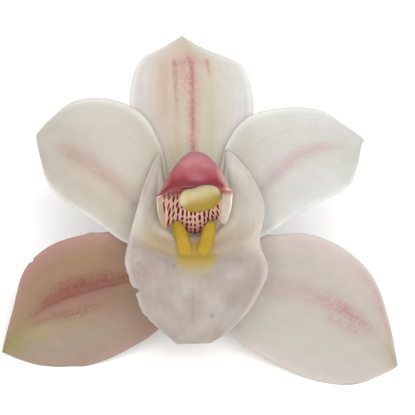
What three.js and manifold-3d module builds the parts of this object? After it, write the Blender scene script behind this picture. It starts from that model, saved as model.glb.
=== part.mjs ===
// Cymbidium orchid bloom, as picked: three sepals, two petals, a lip with its callus ridges, a column with
// its anther cap, and the ribbed ovary that ends in a short cut stalk. Millimetres, +Z up.
//
// The flower is drawn facing the viewer and then leaned back to its resting pose. In the flower's frame
// u runs to the right, v runs up and w comes out of its face, and the heart of the flower is the origin.
import * as THREE from 'three';
import { mergeVertices } from 'three/addons/utils/BufferGeometryUtils.js';
import Module from 'manifold-3d';

// Resting pose
const faceLift = 42; // degrees that the flower's face looks up from the horizontal
const floorDepth = 31.7; // the heart's height above the surface that the bloom rests on

// Blades
const sepalThickness = 1.1;
const petalThickness = 1.0;
const lipThickness = 1.1;
const marginShare = 0.68; // thickness at a margin, as a share of the thickness inside
const tepalRows = 18;
const tepalColumns = 10;
const keelDepth = 0.45; // midrib groove on the face, which stands out as a keel on the back
const keelWidth = 0.14; // in half widths
const cupPower = 1.8; // how late a tepal's section turns up towards its margins
const tipShare = 0.05; // stretch at a blade's tip and margins that is too narrow to give a direction

// Each tepal is three smooth lines of [u, v, w] from claw to tip: the margin that is on the left when the
// piece is seen from the front with its tip up, the midrib, and the margin on the right.
const dorsalSepal = {
  left: [[-2.4, 3.2, -2.1], [-7.5, 9.0, -0.8], [-12.2, 16.5, 0.4], [-15.4, 25.5, 1.3],
    [-15.6, 33.5, 2.0], [-13.2, 40.2, 2.6], [-7.4, 43.6, 3.2], [-3.6, 45.7, 3.8]],
  midrib: [[0, 3.4, -2.1], [0, 10, -1.4], [0.1, 18, -0.6], [0.2, 26.5, 0.1],
    [0, 34.5, 0.9], [-0.6, 40.5, 2.0], [-1.9, 44.0, 3.0], [-3.0, 46.3, 3.9]],
  right: [[2.4, 3.2, -2.1], [7.2, 9.0, -0.8], [11.3, 16.5, 0.4], [14.7, 25.5, 1.4],
    [14.4, 33.5, 2.2], [11.4, 39.4, 2.8], [2.6, 43.1, 3.3], [-2.4, 45.7, 3.8]],
  wave: 0.25,
  waves: 3,
};
const leftPetal = {
  left: [[-3.2, -0.9, 0], [-9.5, -5.3, 1.0], [-16.8, -5.2, 2.0], [-24.4, 0.1, 2.6],
    [-31.5, 4.7, 2.4], [-36.1, 9.4, 1.6], [-38.2, 15.8, 1.0], [-39.2, 20.9, 0.6]],
  midrib: [[-3.4, 0.6, 0], [-8.6, 2.2, 2.0], [-14.4, 5.2, 3.6], [-20.2, 10.4, 4.6],
    [-25.8, 15.2, 4.4], [-30.9, 17.8, 3.3], [-35.4, 19.7, 1.9], [-39.4, 21.5, 0.5]],
  right: [[-3.2, 2.0, 0], [-6.2, 10.5, 2.6], [-8.4, 19.8, 4.2], [-13.0, 27.0, 5.0],
    [-21.0, 30.6, 4.6], [-29.6, 30.1, 3.2], [-35.6, 25.8, 1.6], [-39.0, 22.2, 0.6]],
  wave: 0.4,
  waves: 3,
};
const rightPetal = {
  left: [[3.2, 2.0, 0], [6.2, 11.5, 2.6], [8.6, 20.2, 4.2], [13.8, 26.2, 5.0],
    [22.5, 28.4, 4.8], [31.0, 28.0, 3.6], [37.2, 24.5, 2.2], [42.3, 20.9, 1.2]],
  midrib: [[3.4, 0.6, 0], [9.2, 3.4, 2.2], [15.4, 7.8, 4.0], [21.2, 12.9, 5.1],
    [26.6, 16.4, 5.0], [32.2, 18.2, 4.0], [37.6, 19.1, 2.6], [42.7, 20.2, 1.2]],
  right: [[3.2, -0.9, 0], [9.0, -5.2, 1.0], [17.0, -3.7, 2.2], [23.9, 0.6, 2.9],
    [30.8, 4.6, 2.8], [38.2, 8.4, 2.0], [41.0, 14.2, 1.5], [41.7, 19.2, 1.2]],
  wave: 0.4,
  waves: 3,
};
const leftSepal = {
  left: [[-0.9, -3.6, -2.2], [-2.2, -14.5, -2.6], [-8.2, -26.2, -3.8], [-17.0, -32.3, -5.2],
    [-26.4, -36.2, -6.6], [-34.9, -37.1, -7.3], [-42.4, -35.3, -7.7], [-47.7, -33.2, -8.0]],
  midrib: [[-2.1, -3.0, -2.2], [-6.6, -9.5, -2.6], [-14.4, -14.3, -3.6], [-23.2, -16.6, -5.0],
    [-31.6, -19.0, -6.4], [-38.8, -22.4, -7.4], [-44.2, -27.5, -8.0], [-48.5, -33.0, -8.2]],
  right: [[-2.9, -1.9, -2.2], [-9.5, -1.2, -2.0], [-18.5, -2.3, -1.2], [-27.5, -3.2, -1.6],
    [-36.2, -6.1, -2.8], [-42.6, -12.2, -4.6], [-45.6, -22.0, -6.8], [-48.2, -32.2, -8.0]],
  wave: 0.35,
  waves: 3,
};
const rightSepal = {
  left: [[2.9, -1.9, -2.2], [9.8, -2.2, -2.0], [19.2, -3.2, -1.0], [29.0, -3.1, -0.4],
    [38.2, -7.1, -0.4], [45.3, -14.4, -1.0], [49.1, -25.2, -2.8], [51.0, -34.8, -4.2]],
  midrib: [[2.1, -3.0, -2.2], [7.2, -10.2, -2.4], [15.6, -15.4, -2.4], [25.0, -17.5, -2.5],
    [33.8, -20.2, -2.9], [41.6, -24.5, -3.6], [47.4, -30.4, -4.2], [51.4, -36.1, -4.4]],
  right: [[0.9, -3.6, -2.2], [2.4, -17.5, -2.4], [9.6, -28.4, -2.6], [19.4, -34.9, -2.6],
    [30.0, -39.7, -2.6], [39.6, -41.2, -2.7], [46.8, -38.5, -3.2], [50.8, -36.6, -4.2]],
  wave: 0.35,
  waves: 3,
};

// The lip has the same three lines, and corner, how far out to each side its floor runs before it turns up
// into the side lobe. The first six stations are the claw and side lobes, the rest is the midlobe.
const lip = {
  left: [[2.2, -3.8, 0.2], [5.8, 3.0, 3.0], [7.8, 13.2, 5.2], [8.3, 17.9, 6.6], [13.8, 12.4, 10.6],
    [17.4, 4.2, 15.0], [16.3, -4.8, 18.6], [18.4, -10.8, 19.8], [16.6, -16.6, 18.8],
    [12.9, -22.4, 17.6], [8.6, -26.6, 16.6], [4.3, -29.5, 15.8]],
  midrib: [[0, -4.0, 0.2], [0, -4.0, 2.4], [0, -4.2, 5.0], [0, -4.5, 8.0], [0, -5.6, 11.6],
    [0, -7.4, 15.6], [0, -9.9, 19.2], [0, -13.2, 21.6], [0, -17.2, 22.4],
    [0.1, -21.4, 21.4], [0.2, -25.8, 19.4], [0.3, -29.6, 17.0]],
  right: [[-2.2, -3.8, 0.2], [-5.8, 3.0, 3.0], [-7.8, 12.8, 5.2], [-8.4, 17.2, 6.6], [-11.6, 10.4, 10.4],
    [-14.1, 2.0, 14.6], [-15.9, -5.0, 18.2], [-16.5, -10.4, 19.4], [-14.2, -16.6, 18.4],
    [-12.3, -22.0, 17.2], [-8.2, -26.0, 16.4], [-3.9, -29.8, 15.6]],
  corner: [1.6, 6.0, 12.0, 14.0, 14.5, 13.0, 9.5, 8.0, 7.0, 6.0, 4.5, 2.0],
  wave: 0.5,
  waves: 8, // along the whole margin
  waveStart: 0.5, // the midlobe's margin is crisped, the side lobes are smooth
  waveRise: 0.15,
};
const lipRows = 38;
const lipColumns = 14;

// The two callus ridges stand on the lip's floor. Each is a line of [u, v, w] along its crest.
const callusRidges = [
  [[-4.3, 0.4, 10.2], [-2.9, -2.2, 12.2], [-2.1, -5.4, 15.6], [-1.9, -8.6, 19.4]],
  [[4.5, 0.4, 10.2], [3.5, -2.2, 12.2], [2.9, -5.4, 15.6], [2.6, -8.6, 19.4]],
];
const ridgeHalfWidth = [1.35, 1.6, 1.55, 1.4];
const ridgeDepth = [3.8, 3.2, 2.8, 2.2]; // from the crest down into the floor
const ridgeEnd = 0.12; // square of the share of its section that a ridge keeps at its ends
const roundness = 0.75; // 1 gives a round section, less a squarer one
const ridgeRows = 10;
const ridgeSides = 12;

// The column is an arched, hooded scoop. Its section is set by three lines of [v, w] from base to tip:
// the crest of its back, the edge of its wings and the middle of its hollow face, and by its half width.
const column = {
  crest: [[3.4, 0.8], [8.2, 2.4], [12.9, 6.4], [16.2, 11.8], [17.2, 17.0], [14.9, 22.0], [8.9, 25.6]],
  wing: [[0.3, 0.8], [-0.1, 3.8], [0.7, 7.8], [-0.6, 12.4], [2.4, 17.4], [6.2, 22.0], [7.0, 24.8]],
  hollow: [[-2.8, 0.8], [-2.5, 3.8], [1.0, 7.6], [6.6, 11.8], [11.0, 16.4], [10.9, 20.8], [8.1, 24.9]],
  halfWidth: [2.8, 3.8, 5.1, 7.3, 8.5, 8.9, 8.7],
};
const wingThickness = 0.75;
// How full the back is from base to tip, on its left and on its right
const crestPower = { left: [2.2, 2.2, 2.2, 2.4, 3.4], right: [2.2, 2.2, 2.5, 3.0, 4.4] };
const hollowPower = 2.4; // how square the hollow is
const columnOffset = 0.35; // to the right of the flower's middle
const columnLean = 0.08; // rise of the right wing and drop of the left one, as a share of the half width
const columnRows = 16;
const columnSides = 22;

// The anther cap, a bean that hangs in front of the hood's rim at the column's tip
const capCentre = [1.75, 5.95, 27.1];
const capRadii = [5.0, 3.15, 2.1];
const capTurn = 10; // degrees that its right end is turned up
const capFlat = 0.08; // how much flatter it is above, and fuller below
const capRoundness = 0.85; // 1 gives an ellipsoid, less a squarer bean
const capSides = 20;
const capRings = 12;

// Ovary and stalk: a line of [v, w] from the boss that carries the flower down to the cut end, and radii
const stalk = {
  line: [[0, 0.3], [0, -2.9], [0, -3.2], [0, -4.4], [0.3, -6.6], [0.9, -12], [0.6, -18], [-1.6, -24],
    [-5.6, -30], [-10.6, -35.8]],
  radius: [2.9, 2.9, 4.8, 4.5, 3.2, 2.9, 2.7, 2.3, 2.0, 2.1],
};
const ribs = 6;
const ribDepth = 0.09; // as a share of the radius
const ribTwist = 40; // degrees along the ovary
const ribStart = [0.35, 0.5]; // where the ribs rise, as shares of the line's length
const ribEnd = [0.8, 0.95]; // and where they fade
const stalkRowsPerStation = 2;
const stalkSides = 24;

const liftAngle = THREE.MathUtils.degToRad(faceLift);
const floorNormal = new THREE.Vector3(0, Math.cos(liftAngle), Math.sin(liftAngle));

function smoothLine(points) {
  const vectors = points.map((point) => new THREE.Vector3(...point));
  return new THREE.CatmullRomCurve3(vectors, false, 'catmullrom', 0.5);
}

// A smooth value through evenly spaced values
function smoothValue(values, t) {
  return smoothLine(values.map((value) => [value, 0, 0])).getPoint(t).x;
}

// What would sink into the surface is pressed flat on it.
function restOnFloor(point) {
  const sink = -floorDepth - point.dot(floorNormal);
  return sink > 0 ? point.addScaledVector(floorNormal, sink) : point;
}

function solidFrom(points, triangles) {
  const geometry = new THREE.BufferGeometry();
  geometry.setAttribute('position', new THREE.Float32BufferAttribute(points.flatMap((p) => p.toArray()), 3));
  geometry.setIndex(triangles);
  return geometry;
}

// A closed blade around the middle surface that surface(t, s) gives, with t from 0 at the claw to 1 at the
// tip and s from -1 to 1 across. Both faces are split into triangles alike.
function blade(surface, thickness, rows, columns) {
  const front = [];
  const back = [];
  const reach = 0.002; // step to either side that a direction is measured over
  for (let row = 0; row <= rows; row += 1) {
    for (let side = 0; side <= columns; side += 1) {
      const t = row / rows;
      const s = (2 * side) / columns - 1;
      const ahead = Math.min(t, 1 - tipShare);
      const inside = s * (1 - tipShare);
      const along = surface(ahead + reach, s).sub(surface(Math.max(0, ahead - reach), s));
      const across = surface(ahead, inside + reach).sub(surface(ahead, inside - reach));
      const normal = across.cross(along).normalize();
      const half = 0.5 * thickness * (1 - (1 - marginShare) * s ** 4);
      const middle = surface(t, s);
      front.push(restOnFloor(middle.clone().addScaledVector(normal, half)));
      back.push(restOnFloor(middle.clone().addScaledVector(normal, -half)));
    }
  }
  const width = columns + 1;
  const backStart = front.length;
  const triangles = [];
  for (let row = 0; row < rows; row += 1) {
    for (let side = 0; side < columns; side += 1) {
      const a = row * width + side;
      const b = a + 1;
      const c = a + width + 1;
      const d = a + width;
      triangles.push(a, b, c, a, c, d);
      triangles.push(backStart + a, backStart + c, backStart + b, backStart + a, backStart + d, backStart + c);
    }
  }
  const edge = [];
  for (let side = 0; side < columns; side += 1) edge.push(side);
  for (let row = 0; row < rows; row += 1) edge.push(row * width + columns);
  for (let side = columns; side > 0; side -= 1) edge.push(rows * width + side);
  for (let row = rows; row > 0; row -= 1) edge.push(row * width);
  edge.forEach((a, index) => {
    const b = edge[(index + 1) % edge.length];
    triangles.push(a, backStart + a, backStart + b, a, backStart + b, b);
  });
  return solidFrom([...front, ...back], triangles);
}

// A closed body through rings of points, each ring running the same way round. Its ends are closed with
// strips between the first and the second half of the ring, so a crescent's end is flat too.
function loft(rings) {
  const sides = rings[0].length;
  const points = rings.flat();
  const triangles = [];
  for (let ring = 0; ring + 1 < rings.length; ring += 1) {
    for (let side = 0; side < sides; side += 1) {
      const next = (side + 1) % sides;
      const a = ring * sides + side;
      const b = ring * sides + next;
      const c = (ring + 1) * sides + next;
      const d = (ring + 1) * sides + side;
      triangles.push(a, b, c, a, c, d);
    }
  }
  const lastRing = (rings.length - 1) * sides;
  for (let side = 0; side + 1 < sides / 2; side += 1) {
    const corners = [side, side + 1, sides - 2 - side, sides - 1 - side];
    const [a, b, c, d] = corners;
    triangles.push(a, c, b, a, d, c);
    const [e, f, g, h] = corners.map((corner) => lastRing + corner);
    triangles.push(e, f, g, e, g, h);
  }
  return solidFrom(points, triangles);
}

function tepalSurface(shape) {
  const leftLine = smoothLine(shape.left);
  const midribLine = smoothLine(shape.midrib);
  const rightLine = smoothLine(shape.right);
  return (t, s) => {
    const middle = midribLine.getPoint(t);
    const margin = (s < 0 ? leftLine : rightLine).getPoint(t);
    const point = middle.clone().lerp(margin, Math.abs(s));
    point.z = middle.z + (margin.z - middle.z) * Math.abs(s) ** cupPower;
    const groove = Math.exp(-((s / keelWidth) ** 2)) * Math.sin(Math.PI * t);
    const ripple = Math.sin(2 * Math.PI * shape.waves * t + Math.sign(s)) * Math.sin(Math.PI * t);
    point.z += shape.wave * Math.abs(s) ** 3 * ripple - keelDepth * groove;
    return point;
  };
}

function lipSurface(shape) {
  const leftLine = smoothLine(shape.left);
  const midribLine = smoothLine(shape.midrib);
  const rightLine = smoothLine(shape.right);
  return (t, s) => {
    const middle = midribLine.getPoint(t);
    const margin = (s < 0 ? leftLine : rightLine).getPoint(t);
    const reach = Math.abs(s);
    const turn = middle.clone();
    turn.x -= Math.sign(s) * smoothValue(shape.corner, t);
    const point = middle.multiplyScalar((1 - reach) ** 2)
      .addScaledVector(turn, 2 * reach * (1 - reach))
      .addScaledVector(margin, reach ** 2);
    const crisp = THREE.MathUtils.smoothstep(t, shape.waveStart, shape.waveStart + shape.waveRise);
    point.z += shape.wave * crisp * reach ** 5 * Math.sin(2 * Math.PI * shape.waves * t + s);
    return point;
  };
}

// Swells a sine or cosine, which makes a round section squarer
function squared(value, power = roundness) {
  return Math.sign(value) * Math.abs(value) ** power;
}

function ridge(shape) {
  const crestLine = smoothLine(shape);
  const rings = [];
  for (let row = 0; row <= ridgeRows; row += 1) {
    const t = row / ridgeRows;
    const crest = crestLine.getPoint(t);
    const along = crestLine.getTangent(t);
    const down = new THREE.Vector3(0, -along.z, along.y).normalize();
    const endShrink = Math.sqrt(Math.max(ridgeEnd, 1 - (2 * t - 1) ** 6));
    const halfWidth = smoothValue(ridgeHalfWidth, t) * endShrink;
    const depth = smoothValue(ridgeDepth, t);
    const ring = [];
    for (let side = 0; side < ridgeSides; side += 1) {
      const angle = (2 * Math.PI * side) / ridgeSides;
      const drop = depth * (0.5 - 0.5 * squared(Math.cos(angle)) * endShrink);
      const point = crest.clone().addScaledVector(down, drop);
      point.x -= halfWidth * squared(Math.sin(angle));
      ring.push(point);
    }
    rings.push(ring);
  }
  return loft(rings);
}

function columnBody(shape) {
  const flat = (line) => smoothLine(line.map(([v, w]) => [0, v, w]));
  const crestLine = flat(shape.crest);
  const wingLine = flat(shape.wing);
  const hollowLine = flat(shape.hollow);
  const perFace = columnSides / 2;
  const rings = [];
  for (let row = 0; row <= columnRows; row += 1) {
    const t = row / columnRows;
    const crest = crestLine.getPoint(t);
    const wing = wingLine.getPoint(t);
    const hollow = hollowLine.getPoint(t);
    const halfWidth = smoothValue(shape.halfWidth, t);
    const up = crest.clone().sub(wing).normalize().multiplyScalar(wingThickness / 2);
    const ring = [];
    for (let side = 0; side < columnSides; side += 1) {
      const onBack = side < perFace;
      const x = Math.cos((Math.PI * (onBack ? side : side - perFace)) / (perFace - 1)) * (onBack ? 1 : -1);
      const backPower = smoothValue(x < 0 ? crestPower.left : crestPower.right, t);
      const rise = 1 - Math.abs(x) ** (onBack ? backPower : hollowPower);
      const edge = wing.clone().addScaledVector(up, onBack ? 1 : -1);
      const point = edge.lerp(onBack ? crest : hollow, rise);
      point.x = halfWidth * x + columnOffset;
      point.y += columnLean * halfWidth * x ** 3;
      ring.push(point);
    }
    rings.push(ring);
  }
  return loft(rings);
}

function antherCap() {
  const geometry = new THREE.SphereGeometry(1, capSides, capRings);
  geometry.deleteAttribute('normal');
  geometry.deleteAttribute('uv');
  const cap = mergeVertices(geometry, 1e-4);
  const place = cap.attributes.position;
  for (let i = 0; i < place.count; i += 1) {
    const point = new THREE.Vector3().fromBufferAttribute(place, i);
    const [x, y, z] = point.toArray().map((value) => squared(value, capRoundness));
    const full = 1 - capFlat * y * (1 - x ** 2);
    place.setXYZ(i, x, y * full, z);
  }
  cap.scale(...capRadii);
  cap.rotateZ(THREE.MathUtils.degToRad(capTurn));
  cap.translate(...capCentre);
  return cap;
}

function stalkBody(shape) {
  const line = smoothLine(shape.line.map(([v, w]) => [0, v, w]));
  const stations = shape.line.length - 1;
  const rows = stations * stalkRowsPerStation;
  const rings = [];
  for (let row = 0; row <= rows; row += 1) {
    const t = row / rows;
    const centre = line.getPoint(t);
    const along = line.getTangent(t);
    const up = new THREE.Vector3(0, -along.z, along.y);
    const lower = Math.floor(Math.min(t * stations, stations - 1));
    const part = t * stations - lower;
    const radius = THREE.MathUtils.lerp(shape.radius[lower], shape.radius[lower + 1], part);
    const ribbed = THREE.MathUtils.smoothstep(t, ...ribStart) * (1 - THREE.MathUtils.smoothstep(t, ...ribEnd));
    const ring = [];
    for (let side = 0; side < stalkSides; side += 1) {
      const angle = (2 * Math.PI * side) / stalkSides;
      const twist = THREE.MathUtils.degToRad(ribTwist) * t;
      const r = radius * (1 + ribDepth * ribbed * Math.cos(ribs * (angle + twist)));
      const point = centre.clone().addScaledVector(up, r * Math.cos(angle));
      point.x += r * Math.sin(angle);
      ring.push(restOnFloor(point));
    }
    rings.push(ring);
  }
  return loft(rings);
}

const wasm = await Module();
wasm.setup();

function toManifold(geometry) {
  return new wasm.Manifold(new wasm.Mesh({
    numProp: 3,
    vertProperties: new Float32Array(geometry.attributes.position.array),
    triVerts: new Uint32Array(geometry.index.array),
  }));
}

function fromManifold(solid) {
  const mesh = solid.getMesh();
  const geometry = new THREE.BufferGeometry();
  geometry.setAttribute('position', new THREE.Float32BufferAttribute(mesh.vertProperties, 3));
  geometry.setIndex(Array.from(mesh.triVerts));
  return geometry;
}

function lipBody() {
  let body = toManifold(blade(lipSurface(lip), lipThickness, lipRows, lipColumns));
  callusRidges.forEach((shape) => {
    body = body.add(toManifold(ridge(shape)));
  });
  return fromManifold(body);
}

function tepal(shape, thickness) {
  return blade(tepalSurface(shape), thickness, tepalRows, tepalColumns);
}

const flower = new THREE.Group();
flower.rotation.x = Math.PI / 2 - liftAngle;

function addPiece(name, geometry, color, roughness) {
  const material = new THREE.MeshStandardMaterial({ color, roughness, metalness: 0 });
  const mesh = new THREE.Mesh(geometry, material);
  mesh.name = name;
  flower.add(mesh);
}

addPiece('dorsal_sepal', tepal(dorsalSepal, sepalThickness), 0xdcd3c0, 0.6);
addPiece('petal_left', tepal(leftPetal, petalThickness), 0xd6d0c6, 0.6);
addPiece('petal_right', tepal(rightPetal, petalThickness), 0xdfddd5, 0.6);
addPiece('lateral_sepal_left', tepal(leftSepal, sepalThickness), 0xb59a86, 0.6);
addPiece('lateral_sepal_right', tepal(rightSepal, sepalThickness), 0xd2ccc4, 0.6);
addPiece('lip', lipBody(), 0xc9bfb3, 0.55);
addPiece('column', columnBody(column), 0xb8626e, 0.45);
addPiece('anther_cap', antherCap(), 0xcfc07a, 0.4);
addPiece('ovary_stalk', stalkBody(stalk), 0xb7b98a, 0.55);

// The origin is in the middle of the footprint, on the surface that the bloom rests on.
const bloom = new THREE.Group();
bloom.add(flower);
bloom.updateMatrixWorld(true);
const box = new THREE.Box3().setFromObject(bloom, true);
const middle = box.getCenter(new THREE.Vector3());
bloom.position.set(-middle.x, -middle.y, -box.min.z);

export default bloom;
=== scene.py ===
import math
import bpy
import numpy as np
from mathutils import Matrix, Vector


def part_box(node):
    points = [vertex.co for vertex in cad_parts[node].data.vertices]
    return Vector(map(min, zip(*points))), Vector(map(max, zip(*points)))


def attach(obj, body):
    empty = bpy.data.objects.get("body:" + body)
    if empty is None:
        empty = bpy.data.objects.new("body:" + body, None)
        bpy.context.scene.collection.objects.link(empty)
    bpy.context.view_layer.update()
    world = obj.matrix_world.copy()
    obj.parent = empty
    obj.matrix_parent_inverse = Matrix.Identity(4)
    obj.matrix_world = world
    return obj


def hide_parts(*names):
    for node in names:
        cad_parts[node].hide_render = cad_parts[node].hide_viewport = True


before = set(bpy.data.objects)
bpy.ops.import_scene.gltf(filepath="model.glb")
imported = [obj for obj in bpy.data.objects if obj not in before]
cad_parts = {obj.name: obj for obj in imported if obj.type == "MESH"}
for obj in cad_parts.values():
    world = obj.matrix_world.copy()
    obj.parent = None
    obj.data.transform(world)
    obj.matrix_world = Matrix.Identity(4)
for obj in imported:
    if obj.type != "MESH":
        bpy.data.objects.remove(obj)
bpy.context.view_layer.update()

# Cymbidium orchid bloom. The shapes are drawn in millimetres in the flower's own frame: u to the right,
# v up and w out of its face, with the flower's heart at 0. place() then leans them back onto the floor.
mm = 0.001
print("frame loaded:", len(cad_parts), "nodes")

pose = {
    "faceLift": 42.0,  # degrees that the flower's face looks up
    "floorDepth": 31.7,  # from the heart down to the floor
}
lift = math.radians(pose["faceLift"])
lean = np.array([
    [1, 0, 0],
    [0, math.sin(lift), -math.cos(lift)],
    [0, math.cos(lift), math.sin(lift)],
])
floorNormal = lean[2]


def tint(red, green, blue):
    # a display colour, 0 to 255, as the linear colour that a shader takes
    def linear(value):
        value /= 255
        return value / 12.92 if value <= 0.04045 else ((value + 0.055) / 1.055) ** 2.4
    return (linear(red), linear(green), linear(blue), 1.0)


def smoothLine(points, t):
    # an even curve through the points, like the one that the solids follow
    points = np.asarray(points, float)
    ends = np.vstack([2 * points[0] - points[1], points, 2 * points[-1] - points[-2]])
    spans = len(points) - 1
    reach = np.clip(t, 0, 1) * spans
    i = np.minimum(reach.astype(int), spans - 1)
    f = (reach - i)[..., None]
    a, b, c, d = ends[i], ends[i + 1], ends[i + 2], ends[i + 3]
    return b + 0.5 * f * (c - a + f * (2 * a - 5 * b + 4 * c - d + f * (3 * (b - c) + d - a)))


def smoothValue(values, t):
    return smoothLine([[value] for value in values], t)[..., 0]


def middleLine(points, t):
    # a curve through [v, w] points in the flower's middle plane
    return np.pad(smoothLine(points, t), ((0, 0), (1, 0)))


def smoothStep(x, low, high):
    x = np.clip((x - low) / (high - low), 0, 1)
    return x * x * (3 - 2 * x)


def bell(x, centre, width):
    return np.exp(-(((x - centre) / width) ** 2))


def squared(wave, roundness):
    # a sine or cosine whose ring is a circle at roundness 1 and squarer below it
    return np.sign(wave) * np.abs(wave) ** roundness


def ringAngles(sides):
    return np.linspace(0, 2 * math.pi, sides, endpoint=False)[None]


def unit(vectors):
    return vectors / np.maximum(np.linalg.norm(vectors, axis=-1, keepdims=True), 1e-9)


def restOnFloor(points):
    # what would sink into the floor is pressed flat on it
    sink = -pose["floorDepth"] - points @ floorNormal
    return points + np.maximum(sink, 0)[..., None] * floorNormal


def place(points, heart):
    return (restOnFloor(points) @ lean.T + heart) * mm


def makeObject(name, points, faces, marks):
    # points in the flower's frame; marks are numbers for each point that the materials read
    mesh = bpy.data.meshes.new(name)
    mesh.from_pydata(points.tolist(), [], faces)
    mesh.update()
    for key, values in marks.items():
        mesh.attributes.new(key, "FLOAT", "POINT").data.foreach_set("value", values.astype(np.float32))
    spot = mesh.attributes.new("spot", "FLOAT_VECTOR", "POINT")  # place in the flower's frame, mm
    spot.data.foreach_set("vector", points.astype(np.float32).ravel())
    mesh.shade_smooth()
    piece = bpy.data.objects.new(name, mesh)
    bpy.context.scene.collection.objects.link(piece)
    return piece


def readPoints(piece):
    points = np.zeros(len(piece.data.vertices) * 3)
    piece.data.vertices.foreach_get("co", points)
    return points.reshape(-1, 3)


def movePoints(piece, heart):
    piece.data.vertices.foreach_set("co", place(readPoints(piece), heart).ravel())
    piece.data.update()


# blades: tepals and lip

bladeMesh = {
    "rows": 110,
    "columns": 110,
    "rootRows": 6,
    "rootShare": 0.05,  # of the length, beyond the claw into the boss
    "towardsTip": 1.15,  # above 1 the rows stand closer together at the tip
    "towardsMargin": 0.55,  # how much the columns draw together at the margins, 0 to 1
    "rimPower": 26,  # how close to the margin the edge starts to round
    "tipPower": 60,  # the same at the tip
    "tipShare": 0.05,  # beside tip and margins the sheet keeps its direction
    "reach": 0.002,  # step over which that direction is read
}


def bladeGrid(m):
    # t runs from claw to tip and s from margin to margin
    t = np.concatenate([
        np.linspace(-m["rootShare"], 0, m["rootRows"], endpoint=False),
        1 - (1 - np.linspace(0, 1, m["rows"] + 1)) ** m["towardsTip"],
    ])
    x = np.linspace(-1, 1, m["columns"] + 1)
    s = (1 - m["towardsMargin"]) * x + m["towardsMargin"] * np.sin(0.5 * math.pi * x)
    return np.meshgrid(t, s, indexing="ij")


def bladeQuads(rows, columns):
    # front and back share their margin, and the back's other points are numbered after the front's
    front = np.arange(rows * columns).reshape(rows, columns)
    back = front.copy()
    back[1:-1, 1:-1] = rows * columns + np.arange((rows - 2) * (columns - 2)).reshape(rows - 2, -1)
    quads = []
    for grid, corners in ((front, (0, 1, 2, 3)), (back, (3, 2, 1, 0))):
        ring = [grid[:-1, :-1], grid[:-1, 1:], grid[1:, 1:], grid[1:, :-1]]
        quads.append(np.stack([ring[k] for k in corners], -1).reshape(-1, 4))
    return np.vstack(quads).tolist()


def bothFaces(front, back):
    kept = front.shape[2:]
    return np.concatenate([front.reshape(-1, *kept), back[1:-1, 1:-1].reshape(-1, *kept)])


def bladePiece(name, surface, shape):
    # surface(t, s) is the middle sheet, which gets its thickness, rounded margins and veins here
    m = bladeMesh
    t, s = bladeGrid(m)
    e = m["reach"]
    ahead = np.minimum(np.maximum(t, 0), 1 - m["tipShare"])
    inside = s * (1 - m["tipShare"])
    along = surface(ahead + e, s) - surface(np.maximum(0, ahead - e), s)
    across = surface(ahead, inside + e) - surface(ahead, inside - e)
    normal = unit(np.cross(across, along))
    middle = surface(t, s)
    share = np.clip(t, 0, 1)
    rim = np.sqrt(np.clip(1 - np.abs(s) ** m["rimPower"], 0, 1))
    tip = np.sqrt(np.clip(1 - share ** m["tipPower"], 0, 1))
    half = 0.5 * shape["thickness"] * (1 - (1 - shape["marginShare"]) * s ** 4) * rim * tip
    veins = shape["veinDepth"] * np.cos(2 * math.pi * shape["veins"] * s)
    veins *= np.sin(math.pi * share) ** 0.5 * (1 - s ** 6)  # they die out at both ends and the margins
    front = middle + normal * (half - veins * rim)[..., None]
    back = middle - normal * (half + 0.5 * veins * rim)[..., None]
    face = np.ones_like(t)
    face[0], face[-1], face[:, 0], face[:, -1] = 0.5, 0.5, 0.5, 0.5
    marks = {"along": bothFaces(t, t), "across": bothFaces(s, s), "face": bothFaces(face, 0 * face)}
    return makeObject(name, bothFaces(front, back), bladeQuads(*t.shape), marks)


def notch(t, s, cuts):
    # how far the margin draws in, as a share of the way to the midrib
    draw = np.zeros_like(t)
    for cut in cuts:
        beside = np.clip(s * cut["side"], 0, 1) ** 12
        draw += cut["depth"] * beside * bell(t, cut["at"], cut["width"])
    return draw


def ribAndMargin(shape, share, s):
    left, middle, right = (smoothLine(shape[key], share) for key in ("left", "midrib", "right"))
    return middle, np.where(s[..., None] < 0, left, right)


def rootReach(shape, t):
    return (np.maximum(0, -t) / bladeMesh["rootShare"])[..., None] * np.array(shape["root"])


tepalForm = {
    "cupPower": 1.8,  # above 1 the face stays level beside the midrib and lifts near the margins
    "groove": 0.45,  # depth of the midrib's groove, mm
    "grooveWidth": 0.14,  # as a share of the way to the margin
    "crispRate": 3.7,  # crisps to each wave of the margin
    "buckleRate": (2.1, 1.9),  # how closely the soft bulges follow each other, along and across
}


def tepalSurface(shape):
    form = tepalForm
    random = np.random.default_rng(shape["seed"])
    phases = random.uniform(0, 2 * math.pi, (4, 2))

    def surface(t, s):
        share = np.clip(t, 0, 1)
        side = np.abs(s)
        middle, margin = ribAndMargin(shape, share, s)
        inward = side * (1 - notch(share, s, shape["cuts"]))
        point = middle + (margin - middle) * inward[..., None]
        point[..., 2] = middle[..., 2] + (margin - middle)[..., 2] * side ** form["cupPower"]
        swell = np.sin(math.pi * share)
        groove = bell(s, 0, form["grooveWidth"]) * swell
        ripple = np.sin(2 * math.pi * shape["waves"] * share + np.sign(s)) * swell
        buckle = 0
        for k, (first, second) in enumerate(phases):
            lengthwise = np.sin((k + 2) * form["buckleRate"][0] * share + first)
            buckle = buckle + lengthwise * np.sin((k + 1) * form["buckleRate"][1] * s + second)
        crisps = form["crispRate"] * shape["waves"]
        crisp = np.sin(2 * math.pi * crisps * share + phases[0, 0] + 2 * np.sign(s))
        point[..., 2] += shape["wave"] * side ** 3 * ripple - form["groove"] * groove
        point[..., 2] += shape["buckle"] * buckle * swell * side + shape["crisp"] * crisp * side ** 6 * swell
        return point + rootReach(shape, t)
    return surface


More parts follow.
